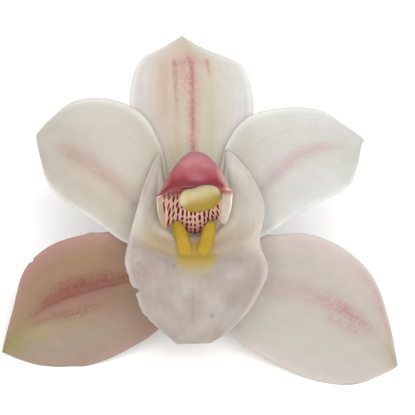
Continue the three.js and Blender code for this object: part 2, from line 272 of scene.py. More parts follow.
# Each outline runs from claw to tip in [u, v, w], mm. Left and right are as seen from the claw, looking over
# the face towards the tip. "root" is the claw's way on into the boss. A cut is in one side, -1 the left and
# 1 the right, and a negative depth lets the margin stand out there.
dorsalSepal = {
    "left": [[-2.4, 3.2, -2.1], [-7.5, 9.0, -0.8], [-12.2, 16.5, 0.4], [-15.4, 25.5, 1.3],
             [-15.6, 33.5, 2.0], [-13.2, 40.2, 2.6], [-7.4, 43.6, 3.2], [-3.6, 45.7, 3.8]],
    "midrib": [[0, 3.4, -2.1], [0, 10, -1.4], [0.1, 18, -0.6], [0.2, 26.5, 0.1],
               [0, 34.5, 0.9], [-0.6, 40.5, 2.0], [-1.9, 44.0, 3.0], [-3.0, 46.3, 3.9]],
    "right": [[2.4, 3.2, -2.1], [7.2, 9.0, -0.8], [11.3, 16.5, 0.4], [14.7, 25.5, 1.4],
              [14.4, 33.5, 2.2], [11.4, 39.4, 2.8], [2.6, 43.1, 3.3], [-2.4, 45.7, 3.8]],
    "root": [0, -0.8, -1.6],
    "wave": 0.25, "waves": 3, "buckle": 0.12, "crisp": 0.05, "seed": 11, "cuts": [],
    "thickness": 1.0, "marginShare": 0.5, "veins": 6, "veinDepth": 0.015,
}
leftPetal = {
    "left": [[-3.2, -0.9, 0], [-9.5, -5.3, 1.0], [-16.8, -5.2, 2.0], [-24.4, 0.1, 2.6],
             [-31.5, 4.7, 2.4], [-36.1, 9.4, 1.6], [-38.2, 15.8, 1.0], [-39.2, 20.9, 0.6]],
    "midrib": [[-3.4, 0.6, 0], [-8.6, 2.2, 2.0], [-14.4, 5.2, 3.6], [-20.2, 10.4, 4.6],
               [-25.8, 15.2, 4.4], [-30.9, 17.8, 3.3], [-35.4, 19.7, 1.9], [-39.4, 21.5, 0.5]],
    "right": [[-3.2, 2.0, 0], [-6.2, 10.5, 2.6], [-8.4, 19.8, 4.2], [-13.0, 27.0, 5.0],
              [-21.0, 30.6, 4.6], [-29.6, 30.1, 3.2], [-35.6, 25.8, 1.6], [-39.0, 22.2, 0.6]],
    "root": [1.6, -0.3, -2.6],
    "wave": 0.4, "waves": 3, "buckle": 0.15, "crisp": 0.06, "seed": 12,
    "cuts": [{"side": -1, "at": 0.775, "width": 0.012, "depth": -0.02}],
    "thickness": 0.9, "marginShare": 0.5, "veins": 7, "veinDepth": 0.012,
}
rightPetal = {
    "left": [[3.2, 2.0, 0], [6.2, 11.5, 2.6], [8.6, 20.2, 4.2], [13.8, 26.2, 5.0],
             [22.5, 28.4, 4.8], [31.0, 28.0, 3.6], [37.2, 24.5, 2.2], [42.3, 20.9, 1.2]],
    "midrib": [[3.4, 0.6, 0], [9.2, 3.4, 2.2], [15.4, 7.8, 4.0], [21.2, 12.9, 5.1],
               [26.6, 16.4, 5.0], [32.2, 18.2, 4.0], [37.6, 19.1, 2.6], [42.7, 20.2, 1.2]],
    "right": [[3.2, -0.9, 0], [9.0, -5.2, 1.0], [17.0, -3.7, 2.2], [23.9, 0.6, 2.9],
              [30.8, 4.6, 2.8], [38.2, 8.4, 2.0], [41.0, 14.2, 1.5], [41.7, 19.2, 1.2]],
    "root": [-1.6, -0.3, -2.6],
    "wave": 0.4, "waves": 3, "buckle": 0.15, "crisp": 0.06, "seed": 13, "cuts": [],
    "thickness": 0.9, "marginShare": 0.5, "veins": 7, "veinDepth": 0.012,
}
leftSepal = {
    "left": [[-0.9, -3.6, -2.2], [-2.2, -14.5, -2.6], [-8.2, -26.2, -3.8], [-17.0, -32.3, -5.2],
             [-26.4, -36.2, -6.6], [-34.9, -37.1, -7.3], [-42.4, -35.3, -7.7], [-47.7, -33.2, -8.0]],
    "midrib": [[-2.1, -3.0, -2.2], [-6.6, -9.5, -2.6], [-14.4, -14.3, -3.6], [-23.2, -16.6, -5.0],
               [-31.6, -19.0, -6.4], [-38.8, -22.4, -7.4], [-44.2, -27.5, -8.0], [-48.5, -33.0, -8.2]],
    "right": [[-2.9, -1.9, -2.2], [-9.5, -1.2, -2.0], [-18.5, -2.3, -1.2], [-27.5, -3.2, -1.6],
              [-36.2, -6.1, -2.8], [-42.6, -12.2, -4.6], [-45.6, -22.0, -6.8], [-48.2, -32.2, -8.0]],
    "root": [0.6, 0.8, -1.6],
    "wave": 0.35, "waves": 3, "buckle": 0.12, "crisp": 0.06, "seed": 14,
    "cuts": [{"side": 1, "at": 0.664, "width": 0.006, "depth": 0.05},
             {"side": 1, "at": 0.40, "width": 0.02, "depth": -0.02}],
    "thickness": 1.0, "marginShare": 0.5, "veins": 8, "veinDepth": 0.009,
}
rightSepal = {
    "left": [[2.9, -1.9, -2.2], [9.8, -2.2, -2.0], [19.2, -3.2, -1.0], [29.0, -3.1, -0.4],
             [38.2, -7.1, -0.4], [45.3, -14.4, -1.0], [49.1, -25.2, -2.8], [51.0, -34.8, -4.2]],
    "midrib": [[2.1, -3.0, -2.2], [7.2, -10.2, -2.4], [15.6, -15.4, -2.4], [25.0, -17.5, -2.5],
               [33.8, -20.2, -2.9], [41.6, -24.5, -3.6], [47.4, -30.4, -4.2], [51.4, -36.1, -4.4]],
    "right": [[0.9, -3.6, -2.2], [2.4, -17.5, -2.4], [9.6, -28.4, -2.6], [19.4, -34.9, -2.6],
              [30.0, -39.7, -2.6], [39.6, -41.2, -2.7], [46.8, -38.5, -3.2], [50.8, -36.6, -4.2]],
    "root": [-0.6, 0.8, -1.6],
    "wave": 0.35, "waves": 3, "buckle": 0.12, "crisp": 0.05, "seed": 15, "cuts": [],
    "thickness": 1.0, "marginShare": 0.5, "veins": 8, "veinDepth": 0.009,
}

lip = {
    "left": [[2.2, -3.8, 0.2], [5.8, 3.0, 3.0], [7.8, 13.2, 5.2], [8.3, 17.9, 6.6], [13.8, 12.4, 10.6],
             [17.4, 4.2, 15.0], [16.3, -4.8, 18.6], [18.4, -10.8, 19.8], [16.6, -16.6, 18.8],
             [12.9, -22.4, 17.6], [8.6, -26.6, 16.6], [4.3, -29.5, 15.8]],
    "midrib": [[0, -4.0, 0.2], [0, -4.0, 2.4], [0, -4.2, 5.0], [0, -4.5, 8.0], [0, -5.6, 11.6],
               [0, -7.4, 15.6], [0, -9.9, 19.2], [0, -13.2, 21.6], [0, -17.2, 22.4],
               [0.1, -21.4, 21.4], [0.2, -25.8, 19.4], [0.3, -29.6, 17.0]],
    "right": [[-2.2, -3.8, 0.2], [-5.8, 3.0, 3.0], [-7.8, 12.8, 5.2], [-8.4, 17.2, 6.6],
              [-11.6, 10.4, 10.4], [-14.1, 2.0, 14.6], [-15.9, -5.0, 18.2], [-16.5, -10.4, 19.4],
              [-14.2, -16.6, 18.4], [-12.3, -22.0, 17.2], [-8.2, -26.0, 16.4], [-3.9, -29.8, 15.6]],
    "corner": [1.6, 6.0, 12.0, 14.0, 14.5, 13.0, 9.5, 8.0, 7.0, 6.0, 4.5, 2.0],
    "root": [0, 1.6, -1.4],
    "wave": 0.5, "waves": 8, "crispFrom": (0.5, 0.65),  # along the lip, where the waves come in
    "frill": 0.21, "frills": 31,  # the fine crisping on top of the waves
    "frillDrift": (1.7, 19),  # how unevenly the frills are spaced, and how often that changes
    # the midlobe's root, raised over the throat; past the fade the midlobe is level again
    "crease": {"at": 0.515, "slant": 0.02, "width": 0.02, "rise": 0.45, "fade": (0.05, 0.3)},
    # soft folds of the midlobe at [along, across], how far they reach each way and how far they rise, mm
    "folds": [[0.71, -0.84, 0.075, 0.2, -1.3], [0.79, -0.52, 0.03, 0.16, 0.75],
              [0.62, 0.8, 0.06, 0.25, -0.5], [0.74, 0.55, 0.05, 0.2, 0.4],
              [0.86, 0.1, 0.05, 0.35, -0.35], [0.9, -0.5, 0.04, 0.25, 0.3]],
    "cuts": [{"side": 1, "at": 0.725, "width": 0.007, "depth": 0.10},
             {"side": 1, "at": 0.70, "width": 0.012, "depth": -0.03},
             {"side": 1, "at": 0.845, "width": 0.006, "depth": 0.03}],
    "thickness": 0.95, "marginShare": 0.45, "veins": 8, "veinDepth": 0.02,
}


def lipSurface(shape):
    def surface(t, s):
        share = np.clip(t, 0, 1)
        side = np.abs(s)[..., None]
        middle, margin = ribAndMargin(shape, share, s)
        turn = middle.copy()
        turn[..., 0] -= np.sign(s) * smoothValue(shape["corner"], share)
        margin = margin + (middle - margin) * notch(share, s, shape["cuts"])[..., None]
        point = middle * (1 - side) ** 2 + turn * 2 * side * (1 - side) + margin * side ** 2
        side = side[..., 0]
        crease = shape["crease"]
        edge = crease["at"] - crease["slant"] * s
        lifted = smoothStep(share, edge - crease["width"], edge + crease["width"]) * (1 - side ** 6)
        lifted *= 1 - smoothStep(share, edge + crease["fade"][0], edge + crease["fade"][1])
        point[..., 2] += crease["rise"] * lifted
        for foldAlong, foldAcross, length, width, rise in shape["folds"]:
            point[..., 2] += rise * bell(share, foldAlong, length) * bell(s, foldAcross, width)
        crisp = smoothStep(share, *shape["crispFrom"])
        wave = np.sin(2 * math.pi * shape["waves"] * share + s)
        drift, driftRate = shape["frillDrift"]
        frill = np.sin(2 * math.pi * shape["frills"] * share + drift * np.sin(driftRate * share) + 2 * s)
        frill = shape["frill"] * side ** 9 * frill
        point[..., 2] += crisp * (shape["wave"] * side ** 5 * wave + frill)
        point[..., 0] += crisp * 0.5 * frill * np.sign(s)
        return point + rootReach(shape, t)
    return surface


tepals = {
    "dorsalSepal": dorsalSepal,
    "leftPetal": leftPetal,
    "rightPetal": rightPetal,
    "leftSepal": leftSepal,
    "rightSepal": rightSepal,
}
pieces = {}
for name, shape in tepals.items():
    pieces[name] = bladePiece(name, tepalSurface(shape), shape)
pieces["lip"] = bladePiece("lip", lipSurface(lip), lip)
print("tepals and lip shaped")


# lofted bodies: callus ridges, column, cap, ovary and stalk

def loftPiece(name, rings, marks):
    # rings is (rings, points, 3), each running the same way round; strips close the two end rings
    count, sides = rings.shape[:2]
    number = np.arange(count * sides).reshape(count, sides)
    after = np.roll(number, -1, axis=1)
    quads = np.stack([number[:-1], after[:-1], after[1:], number[1:]], -1).reshape(-1, 4).tolist()
    for ring, turn in ((0, -1), (count - 1, 1)):
        for side in range(sides // 2 - 1):
            corners = [side, side + 1, sides - 2 - side, sides - 1 - side][::turn]
            quads.append([int(number[ring, corner]) for corner in corners])
    return makeObject(name, rings.reshape(-1, 3), quads, {key: mark.ravel() for key, mark in marks.items()})


ridges = {
    "crests": {
        "leftRidge": [[-4.2, 1.2, 10.4], [-2.9, -2.2, 12.4], [-2.1, -5.4, 15.6], [-2.0, -9.3, 19.7]],
        "rightRidge": [[4.5, 1.2, 10.4], [3.5, -2.2, 12.4], [2.9, -5.4, 15.6], [2.7, -9.3, 19.7]],
    },
    "halfWidth": [1.3, 1.6, 1.5, 1.4],
    "depth": [3.4, 3.0, 1.1, 0.45],
    "roundness": 0.75,  # 1 gives an oval section, less a flatter crest
    "lower": 0.5,  # how far the crests sink all along, mm
    "skirt": 0.5,  # how far the foot spreads onto the lip's floor
    "sink": 0.05,  # how far the front end runs down into the floor, mm
    "sinkFrom": 0.6,  # where along the ridge that starts
    "rows": 60,
    "sides": 40,
}


def ridgePiece(name, crestPoints, shape):
    t = 0.5 - 0.5 * np.cos(np.linspace(0, math.pi, shape["rows"] + 1))
    along = unit(smoothLine(crestPoints, t + 0.005) - smoothLine(crestPoints, t - 0.005))
    down = unit(np.stack([np.zeros_like(t), -along[:, 2], along[:, 1]], -1))
    sunk = shape["lower"] + shape["sink"] * smoothStep(t, shape["sinkFrom"], 1.0)
    crest = smoothLine(crestPoints, t) + down * sunk[:, None]
    # both ends are round, and the front one is the blunter
    end = np.sqrt(np.clip(1 - np.where(t < 0.5, 2 * t - 1, (2 * t - 1) ** 2) ** 6, 0.0004, 1))[:, None]
    angle = ringAngles(shape["sides"])
    low = 0.5 - 0.5 * squared(np.cos(angle), shape["roundness"]) * end  # 0 at the crest, 1 at the foot
    width = smoothValue(shape["halfWidth"], t)[:, None] * end * (1 + shape["skirt"] * low ** 2)
    drop = smoothValue(shape["depth"], t)[:, None] * low
    rings = crest[:, None] + down[:, None] * drop[..., None]
    rings[..., 0] -= width * squared(np.sin(angle), shape["roundness"])
    return loftPiece(name, rings, {"low": low})


for name, crestPoints in ridges["crests"].items():
    pieces[name] = ridgePiece(name, crestPoints, ridges)

# The column's lines are [v, w] from foot to rim: the middle of its back, its wings' edges and the middle of
# its hollow face.
column = {
    "crest": [[3.4, 0.8], [8.2, 2.4], [12.9, 6.4], [16.2, 11.8], [17.2, 17.0], [14.9, 22.0], [8.9, 25.6]],
    "wing": [[0.3, 0.8], [-0.1, 3.8], [0.7, 7.8], [-0.6, 12.4], [2.4, 17.4], [6.2, 22.0], [7.0, 24.8]],
    "hollow": [[-2.8, 0.8], [-2.5, 3.8], [1.0, 7.6], [6.6, 11.8], [11.0, 16.4], [10.9, 20.8], [8.1, 24.9]],
    "halfWidth": [2.8, 3.8, 5.1, 7.3, 8.5, 8.9, 8.7],
    "wingThickness": 0.75,
    # 2 gives a round back, more a squarer shoulder; foot to rim
    "backPower": {"left": [2.2, 2.2, 2.2, 2.4, 3.4], "right": [2.2, 2.2, 2.5, 3.0, 4.4]},
    "hollowPower": 2.4,
    "offset": 0.35,  # to the right of the flower's middle
    "lean": 0.08,  # the right wing stands higher than the left
    "foot": 1.4,  # how far the foot goes on into the boss
    "rimBulge": 0.8,  # how full the hood's rim is, 1 is half round
    "rows": 130,
    "sides": 60,  # points across each face
    "edge": 7,  # points round each wing's edge
    "rim": 8,  # rings that round the hood's rim
}


def roundRim(rings, partner, shape):
    # rings past the last one, which draw its two faces together
    last, ahead = rings[-1], unit(rings[-1] - rings[-2])
    middle = (last + last[partner]) / 2
    half = np.linalg.norm(last - middle, axis=-1, keepdims=True)
    rim = []
    for turn in 0.5 * math.pi * np.arange(1, shape["rim"] + 1) / shape["rim"]:
        inward = (last - middle) * max(math.cos(turn), 0.02)
        rim.append(middle + inward + ahead * half * math.sin(turn) * shape["rimBulge"])
    return np.stack(rim)


def columnPiece(name, shape):
    # each ring runs over the back, round the left wing's edge, over the hollow face and round the right edge
    t = np.linspace(0, 1, shape["rows"] + 1)
    crest, wing, hollow = (middleLine(shape[key], t) for key in ("crest", "wing", "hollow"))
    halfWidth = smoothValue(shape["halfWidth"], t)[:, None]
    half = shape["wingThickness"] / 2
    up = unit(crest - wing)[:, None] * half
    back = np.cos(np.linspace(0, math.pi, shape["sides"]))[None]
    left, right = (smoothValue(shape["backPower"][side], t)[:, None] for side in ("left", "right"))
    backPower = np.where(back < 0, left, right)
    bend = np.linspace(0, math.pi, shape["edge"] + 2)[1:-1][None]

    def faceOf(x, edge, middle, power):
        points = edge + (middle[:, None] - edge) * (1 - np.abs(x) ** power)[..., None]
        points[..., 0] = halfWidth * x
        return points

    def edgeOf(side):
        points = wing[:, None] - side * up * np.cos(bend)[..., None]
        points[..., 0] += side * (halfWidth + half * np.sin(bend))
        return points
    outer = faceOf(back, wing[:, None] + up, crest, backPower)
    inner = faceOf(-back, wing[:, None] - up, hollow, shape["hollowPower"])
    rings = np.concatenate([outer, edgeOf(-1), inner, edgeOf(1)], 1)
    n, e = shape["sides"], shape["edge"]
    inside = np.concatenate([np.zeros(n), np.linspace(0, 1, e), np.ones(n), np.linspace(1, 0, e)])
    x = np.concatenate([back[0], -np.ones(e), -back[0], np.ones(e)])
    rings[..., 1] += shape["lean"] * rings[..., 0] * x ** 2
    rings[..., 0] += shape["offset"]
    facing, edgewise = np.arange(n)[::-1], np.arange(e)[::-1]
    partner = np.concatenate([facing + n + e, edgewise + n, facing, edgewise + 2 * n + e])
    foot = rings[:1] + np.array([0, 0.3, -shape["foot"]])
    rings = np.concatenate([foot, rings, roundRim(rings, partner, shape)])
    t = np.concatenate([[0], t, np.ones(shape["rim"])])[:, None]
    return loftPiece(name, rings, {"along": t + 0 * inside, "inside": inside + 0 * t})


pieces["column"] = columnPiece("column", column)

cap = {
    "centre": [1.75, 5.95, 27.1],
    "radii": [5.0, 3.15, 2.1],
    "turn": 10.0,  # degrees that its right end is turned up
    "flat": 0.08,  # flatter above, fuller below
    "roundness": 0.85,  # 1 gives an ellipsoid, less a squarer bean
    "dent": {"depth": 0.10, "at": -0.25, "width": 0.3},  # dip in its upper edge, left of the middle
    "furrow": {"depth": 0.05, "at": 0.1, "width": 0.1},  # down its front
    "rings": 48,
    "sides": 72,
}


def capPiece(name, shape):
    polar = np.linspace(0, math.pi, shape["rings"] + 1)[:, None]
    angle = ringAngles(shape["sides"])
    outward = squared(np.sin(polar), shape["roundness"])
    x = outward * squared(np.cos(angle), shape["roundness"])
    z = outward * squared(np.sin(angle), shape["roundness"])
    y = squared(np.cos(polar), shape["roundness"]) + 0 * angle
    full = 1 - shape["flat"] * y * (1 - x ** 2)
    dent, furrow = (shape[key]["depth"] * bell(x, shape[key]["at"], shape[key]["width"])
                    for key in ("dent", "furrow"))
    front = z * (1 - furrow * np.clip(z, 0, 1))
    points = np.stack([x, y * full - dent * np.clip(y, 0, 1), front], -1) * shape["radii"]
    turn = math.radians(shape["turn"])
    spin = np.array([[math.cos(turn), -math.sin(turn), 0], [math.sin(turn), math.cos(turn), 0], [0, 0, 1]])
    points = points @ spin.T + shape["centre"]
    # each pole becomes a tiny ring of its own
    points[0], points[-1] = points[0].mean(0), points[-1].mean(0)
    points[[0, -1]] = points[[0, -1]] * (1 - 1e-3) + points[[1, -2]] * 1e-3
    return loftPiece(name, points[:, ::-1], {"high": y[:, ::-1], "across": x[:, ::-1]})


pieces["cap"] = capPiece("antherCap", cap)

stalk = {
    # [v, w] from the boss down to the cut end
    "line": [[0, 0.3], [0, -2.9], [0, -3.2], [0, -4.4], [0.3, -6.6], [0.9, -12], [0.6, -18], [-1.6, -24],
             [-5.6, -30], [-10.6, -35.8]],
    "radius": [2.9, 2.9, 4.8, 4.5, 3.2, 2.9, 2.7, 2.3, 2.0, 2.1],
    "shoulderRows": 9,  # rows over which a change of radius is softened
    "ribs": 6,
    "ribDepth": 0.09,  # as a share of the radius
    "twist": 40.0,  # degrees from end to end
    "ribStart": (0.35, 0.5),
    "ribEnd": (0.8, 0.95),
    "rows": 180,
    "sides": 96,
}


def stalkPiece(name, shape):
    t = np.linspace(0, 1, shape["rows"] + 1)
    along = unit(middleLine(shape["line"], t + 0.004) - middleLine(shape["line"], t - 0.004))
    up = np.stack([np.zeros_like(t), -along[:, 2], along[:, 1]], -1)
    radius = np.interp(t, np.linspace(0, 1, len(shape["radius"])), shape["radius"])
    window = shape["shoulderRows"]
    radius = np.convolve(np.pad(radius, window // 2, mode="edge"), np.ones(window) / window, mode="valid")
    ribbed = smoothStep(t, *shape["ribStart"]) * (1 - smoothStep(t, *shape["ribEnd"]))
    angle = ringAngles(shape["sides"])
    twist = math.radians(shape["twist"]) * t[:, None]
    wave = ribbed[:, None] * np.cos(shape["ribs"] * (angle + twist))
    r = radius[:, None] * (1 + shape["ribDepth"] * wave)
    rings = middleLine(shape["line"], t)[:, None] + up[:, None] * (r * np.cos(angle))[..., None]
    rings[..., 0] += r * np.sin(angle)
    return loftPiece(name, rings, {"along": t[:, None] + 0 * angle, "rib": 0.5 + 0.5 * wave})


pieces["stalk"] = stalkPiece("ovaryStalk", stalk)
print("ridges, column, cap and stalk shaped")


def extent(piece):
    points = readPoints(piece) @ lean.T
    return points.min(0), points.max(0)


# The heart stands where the fine sepals' tips meet the ends of their nodes in the frame.
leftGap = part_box("lateral_sepal_left")[0].x / mm - extent(pieces["leftSepal"])[0][0]
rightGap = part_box("lateral_sepal_right")[1].x / mm - extent(pieces["rightSepal"])[1][0]
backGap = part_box("dorsal_sepal")[1].y / mm - extent(pieces["dorsalSepal"])[1][1]
heart = np.array([(leftGap + rightGap) / 2, backGap, pose["floorDepth"]])
for piece in pieces.values():
    movePoints(piece, heart)
print("heart at", np.round(heart, 3), "mm")


# node tools

class Desk:
    # short ways to add nodes to one tree
    def __init__(self, tree):
        self.tree = tree

    def add(self, kind, *values, **settings):
        node = self.tree.nodes.new(kind)
        for key, value in settings.items():
            setattr(node, key, value)
        for socket, value in zip(node.inputs, values):
            self.put(socket, value)
        return node

    def put(self, socket, value):
        if isinstance(value, bpy.types.NodeSocket):
            self.tree.links.new(value, socket)
        elif value is not None:
            socket.default_value = value

    def math(self, operation, *values):
        return self.add("ShaderNodeMath", *values, operation=operation).outputs[0]

    def plus(self, first, second):
        return self.math("ADD", first, second)

    def minus(self, first, second):
        return self.math("SUBTRACT", first, second)

    def times(self, *values):
        result = values[0]
        for value in values[1:]:
            result = self.math("MULTIPLY", result, value)
        return result

    def over(self, first, second):
        return self.math("DIVIDE", first, second)

    def absolute(self, value):
        return self.math("ABSOLUTE", value)

    def clamp(self, value):
        return self.add("ShaderNodeClamp", value).outputs[0]

    def read(self, name, output="Fac"):
        return self.add("ShaderNodeAttribute", attribute_name=name).outputs[output]

    def vector(self, x, y, z=0.0):
        return self.add("ShaderNodeCombineXYZ", x, y, z).outputs[0]

    def parts(self, vector):
        return self.add("ShaderNodeSeparateXYZ", vector).outputs

    def ramp(self, value, low, high, toLow=0.0, toHigh=1.0):
        # a smooth step from low to high
        values = (value, low, high, toLow, toHigh)
        return self.add("ShaderNodeMapRange", *values, interpolation_type="SMOOTHSTEP").outputs[0]

    def bell(self, value, centre, width):
        # 1 at centre, falling away over width
        x = self.over(self.minus(value, centre), width)
        return self.math("EXPONENT", self.times(self.times(x, x), -1.0))

    def blend(self, factor, first, second, mode="MIX"):
        node = self.tree.nodes.new("ShaderNodeMix")
        node.data_type = "RGBA"
        node.blend_type = mode
        self.put(node.inputs[0], factor)
        self.put(node.inputs[6], first)
        self.put(node.inputs[7], second)
        return node.outputs[2]

    def shade(self, colour, tone):
        return self.blend(1.0, colour, self.vector(tone, tone, tone), "MULTIPLY")

    def noise(self, vector, scale, detail=2.0, roughness=0.5):
        values = {"Vector": vector, "Scale": scale, "Detail": detail, "Roughness": roughness}
        node = self.add("ShaderNodeTexNoise")
        for key, value in values.items():
            self.put(node.inputs[key], value)
        return node.outputs["Fac"]

    def group(self, group, **values):
        node = self.tree.nodes.new("ShaderNodeGroup")
        node.node_tree = group
        for key, value in values.items():
            self.put(node.inputs[key], value)
        return node.outputs


def newGroup(name, inputs, outputs):
    group = bpy.data.node_groups.new(name, "ShaderNodeTree")
    for key, value in inputs.items():
        kind = "NodeSocketVector" if isinstance(value, tuple) else "NodeSocketFloat"
        socket = group.interface.new_socket(key, in_out="INPUT", socket_type=kind)
        socket.default_value = value
    for key in outputs:
        group.interface.new_socket(key, in_out="OUTPUT", socket_type="NodeSocketFloat")
    desk = Desk(group)
    return group, desk, desk.add("NodeGroupInput").outputs, desk.add("NodeGroupOutput").inputs


def makePaintStroke():
    # a soft stroke from one place to another in the flower's plane; start and end are (u, v, half width)
    places = {"place": (0.0, 0.0, 0.0), "start": (0.0, 0.0, 1.0), "end": (1.0, 0.0, 1.0)}
    group, desk, given, result = newGroup("paintStroke", {**places, "from": 1.0, "to": 1.0}, ["mask"])
    u, v = desk.parts(given["place"])[:2]
    startU, startV, startWidth = desk.parts(given["start"])
    endU, endV, endWidth = desk.parts(given["end"])
    runU = desk.minus(endU, startU)
    runV = desk.minus(endV, startV)
    offU = desk.minus(u, startU)
    offV = desk.minus(v, startV)
    reach = desk.plus(desk.times(offU, runU), desk.times(offV, runV))
    length = desk.plus(desk.times(runU, runU), desk.times(runV, runV))
    share = desk.clamp(desk.over(reach, length))
    awayU = desk.minus(offU, desk.times(share, runU))
    awayV = desk.minus(offV, desk.times(share, runV))
    away = desk.plus(desk.times(awayU, awayU), desk.times(awayV, awayV))
    width = desk.plus(startWidth, desk.times(share, desk.minus(endWidth, startWidth)))
    strength = desk.plus(given["from"], desk.times(share, desk.minus(given["to"], given["from"])))
    fall = desk.math("EXPONENT", desk.times(desk.over(away, desk.times(width, width)), -1.0))
    desk.put(result["mask"], desk.times(fall, strength))
    return group


def makeStipple():
    # fine specks of pigment, a little longer than wide; cover goes from 0, a few specks, to 1, an even tone
    group, desk, given, result = newGroup(
        "stipple", {"across": 0.0, "along": 0.0, "grain": 30.0, "cover": 0.5}, ["specks"])
    spread = desk.vector(given["across"], desk.times(given["along"], 2.2), 0.0)
    fine = desk.noise(spread, given["grain"], 2.0, 0.6)
    coarse = desk.noise(spread, desk.times(given["grain"], 0.22), 2.0, 0.5)
    specks = desk.plus(desk.ramp(fine, 0.36, 0.66), desk.ramp(coarse, 0.3, 0.7, -0.25, 0.25))
    bare = desk.minus(1.0, given["cover"])
    desk.put(result["specks"], desk.clamp(desk.plus(given["cover"], desk.times(bare, specks))))
    return group


def makeLongVeins():
    # fine veins that run from claw to tip, parallel and slightly wandering, and broad pale streaks
    group, desk, given, result = newGroup(
        "longVeins", {"across": 0.0, "along": 0.0, "count": 14.0, "wander": 0.3, "seed": 0.0},
        ["lines", "streaks"])
    across, along, seed = given["across"], given["along"], given["seed"]
    drift = desk.noise(desk.vector(desk.times(across, 2.0), along, seed), 2.5)
    counted = desk.times(across, given["count"])
    shifted = desk.plus(counted, desk.times(drift, given["wander"]))
    wave = desk.math("COSINE", desk.times(shifted, 2 * math.pi))
    patches = desk.noise(desk.vector(counted, desk.times(along, 3.0), seed), 1.0)
    desk.put(result["lines"], desk.times(desk.ramp(wave, 0.2, 1.0), desk.ramp(patches, 0.3, 0.7)))
    stretched = desk.vector(desk.times(across, 9.0), along, seed)
    desk.put(result["streaks"], desk.noise(stretched, 1.6, 4.0, 0.6))
    return group


def makeTissue():
    # the waxy skin's fine cells and its uneven tone
    group, desk, given, result = newGroup(
        "tissue", {"place": (0.0, 0.0, 0.0), "size": 0.35}, ["height", "tone"])
    scale = desk.over(1.0, given["size"])
    cells = desk.add("ShaderNodeTexVoronoi", feature="SMOOTH_F1")
    desk.put(cells.inputs["Vector"], given["place"])
    desk.put(cells.inputs["Scale"], scale)
    fine = desk.noise(given["place"], desk.times(scale, 0.8), 2.0)
    desk.put(result["height"], desk.plus(cells.outputs["Distance"], desk.times(fine, 0.6)))
    desk.put(result["tone"], desk.noise(given["place"], desk.times(scale, 0.09), 3.0))
    return group


def makeDashRows():
    # short dark dashes in rows that run up the column's hollow, each of its own length and place
    sizes = {"spacing": 1.1, "pitch": 1.7, "width": 0.19, "length": 0.42}
    group, desk, given, result = newGroup(
        "dashRows", {"across": 0.0, "along": 0.0, **sizes}, ["mask", "shade"])
    cellX = desk.over(given["across"], given["spacing"])
    row = desk.math("FLOOR", cellX)
    shift = desk.add("ShaderNodeTexWhiteNoise", noise_dimensions="1D")
    desk.put(shift.inputs["W"], row)
    cellY = desk.plus(desk.over(given["along"], given["pitch"]), desk.times(shift.outputs["Value"], 3.0))
    draw = desk.add("ShaderNodeTexWhiteNoise", noise_dimensions="2D")
    desk.put(draw.inputs["Vector"], desk.vector(row, desk.math("FLOOR", cellY)))
    longer, wider, aside = desk.parts(draw.outputs["Color"])
    x = desk.minus(desk.math("FRACT", cellX), desk.ramp(aside, 0, 1, 0.38, 0.62))
    y = desk.minus(desk.math("FRACT", cellY), 0.5)
    wide = desk.times(given["width"], desk.ramp(wider, 0, 1, 0.7, 1.15))
    long = desk.times(given["length"], desk.ramp(longer, 0, 1, 0.62, 1.15))
    x = desk.math("POWER", desk.absolute(desk.over(x, wide)), 2.0)
    y = desk.math("POWER", desk.absolute(desk.over(y, long)), 2.6)
    desk.put(result["mask"], desk.ramp(desk.plus(x, y), 1.25, 0.6))
    desk.put(result["shade"], wider)
    return group


paintStroke = makePaintStroke()
stipple = makeStipple()
longVeins = makeLongVeins()
tissue = makeTissue()
dashRows = makeDashRows()

waxySkin = {
    "warmth": (1.0, 0.75, 0.6),  # how far red, green and blue light travel under the skin
    "bumpStrength": 0.5,
}


def newMaterial(name, roughness, subsurface=0.0, radius=1.0, specular=0.35):
    # radius is how far light travels under the skin, mm
    material = bpy.data.materials.new(name)
    material.use_nodes = True
    shader = material.node_tree.nodes["Principled BSDF"]
    shader.inputs["Roughness"].default_value = roughness
    shader.inputs["Specular IOR Level"].default_value = specular
    shader.inputs["Subsurface Weight"].default_value = subsurface
    shader.inputs["Subsurface Radius"].default_value = waxySkin["warmth"]
    shader.inputs["Subsurface Scale"].default_value = radius * mm
    return material, Desk(material.node_tree), shader


def finishSurface(desk, shader, colour, height, depth, roughness=None):
    bump = desk.add("ShaderNodeBump")
    bump.inputs["Strength"].default_value = waxySkin["bumpStrength"]
    bump.inputs["Distance"].default_value = depth * mm
    desk.put(bump.inputs["Height"], height)
    desk.put(shader.inputs["Normal"], bump.outputs["Normal"])
    desk.put(shader.inputs["Base Color"], colour)
    desk.put(shader.inputs["Roughness"], roughness)


def throughLight(desk, shader, colour):
    # mixes in the light that shines through a thin sheet
    glow = desk.add("ShaderNodeBsdfTranslucent")
    desk.put(glow.inputs["Color"], colour)
    blend = desk.add("ShaderNodeMixShader")
    blend.inputs[0].default_value = sheet["through"]
    desk.put(blend.inputs[1], shader.outputs[0])
    desk.put(blend.inputs[2], glow.outputs[0])
    desk.put(desk.tree.nodes["Material Output"].inputs["Surface"], blend.outputs[0])


def dress(name, material, node):
    piece = pieces[name]
    piece.data.materials.append(material)
    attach(piece, "root")
    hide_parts(node)


# tepal finish

sheet = {
    "skin": {"roughness": 0.5, "subsurface": 0.1, "radius": 1.2},
    "through": 0.4,  # share of the light behind a petal that shows through it
    "cellSize": 0.3,  # mm
    "roughness": (0.44, 0.56),
    "unevenTone": (0.965, 1.02),
    "relief": 0.12,  # mm
    "cellRelief": 0.35,  # share of the relief that the cells stand up
    "veinRelief": -0.5,  # share that the veins lie in
    # where a colour starts and is full: margin and rim across the sheet, heart and tip along it
    "margin": (0.35, 0.95), "rim": (0.86, 1.0), "heart": (0.5, 0.0), "tip": (0.975, 1.0),
}


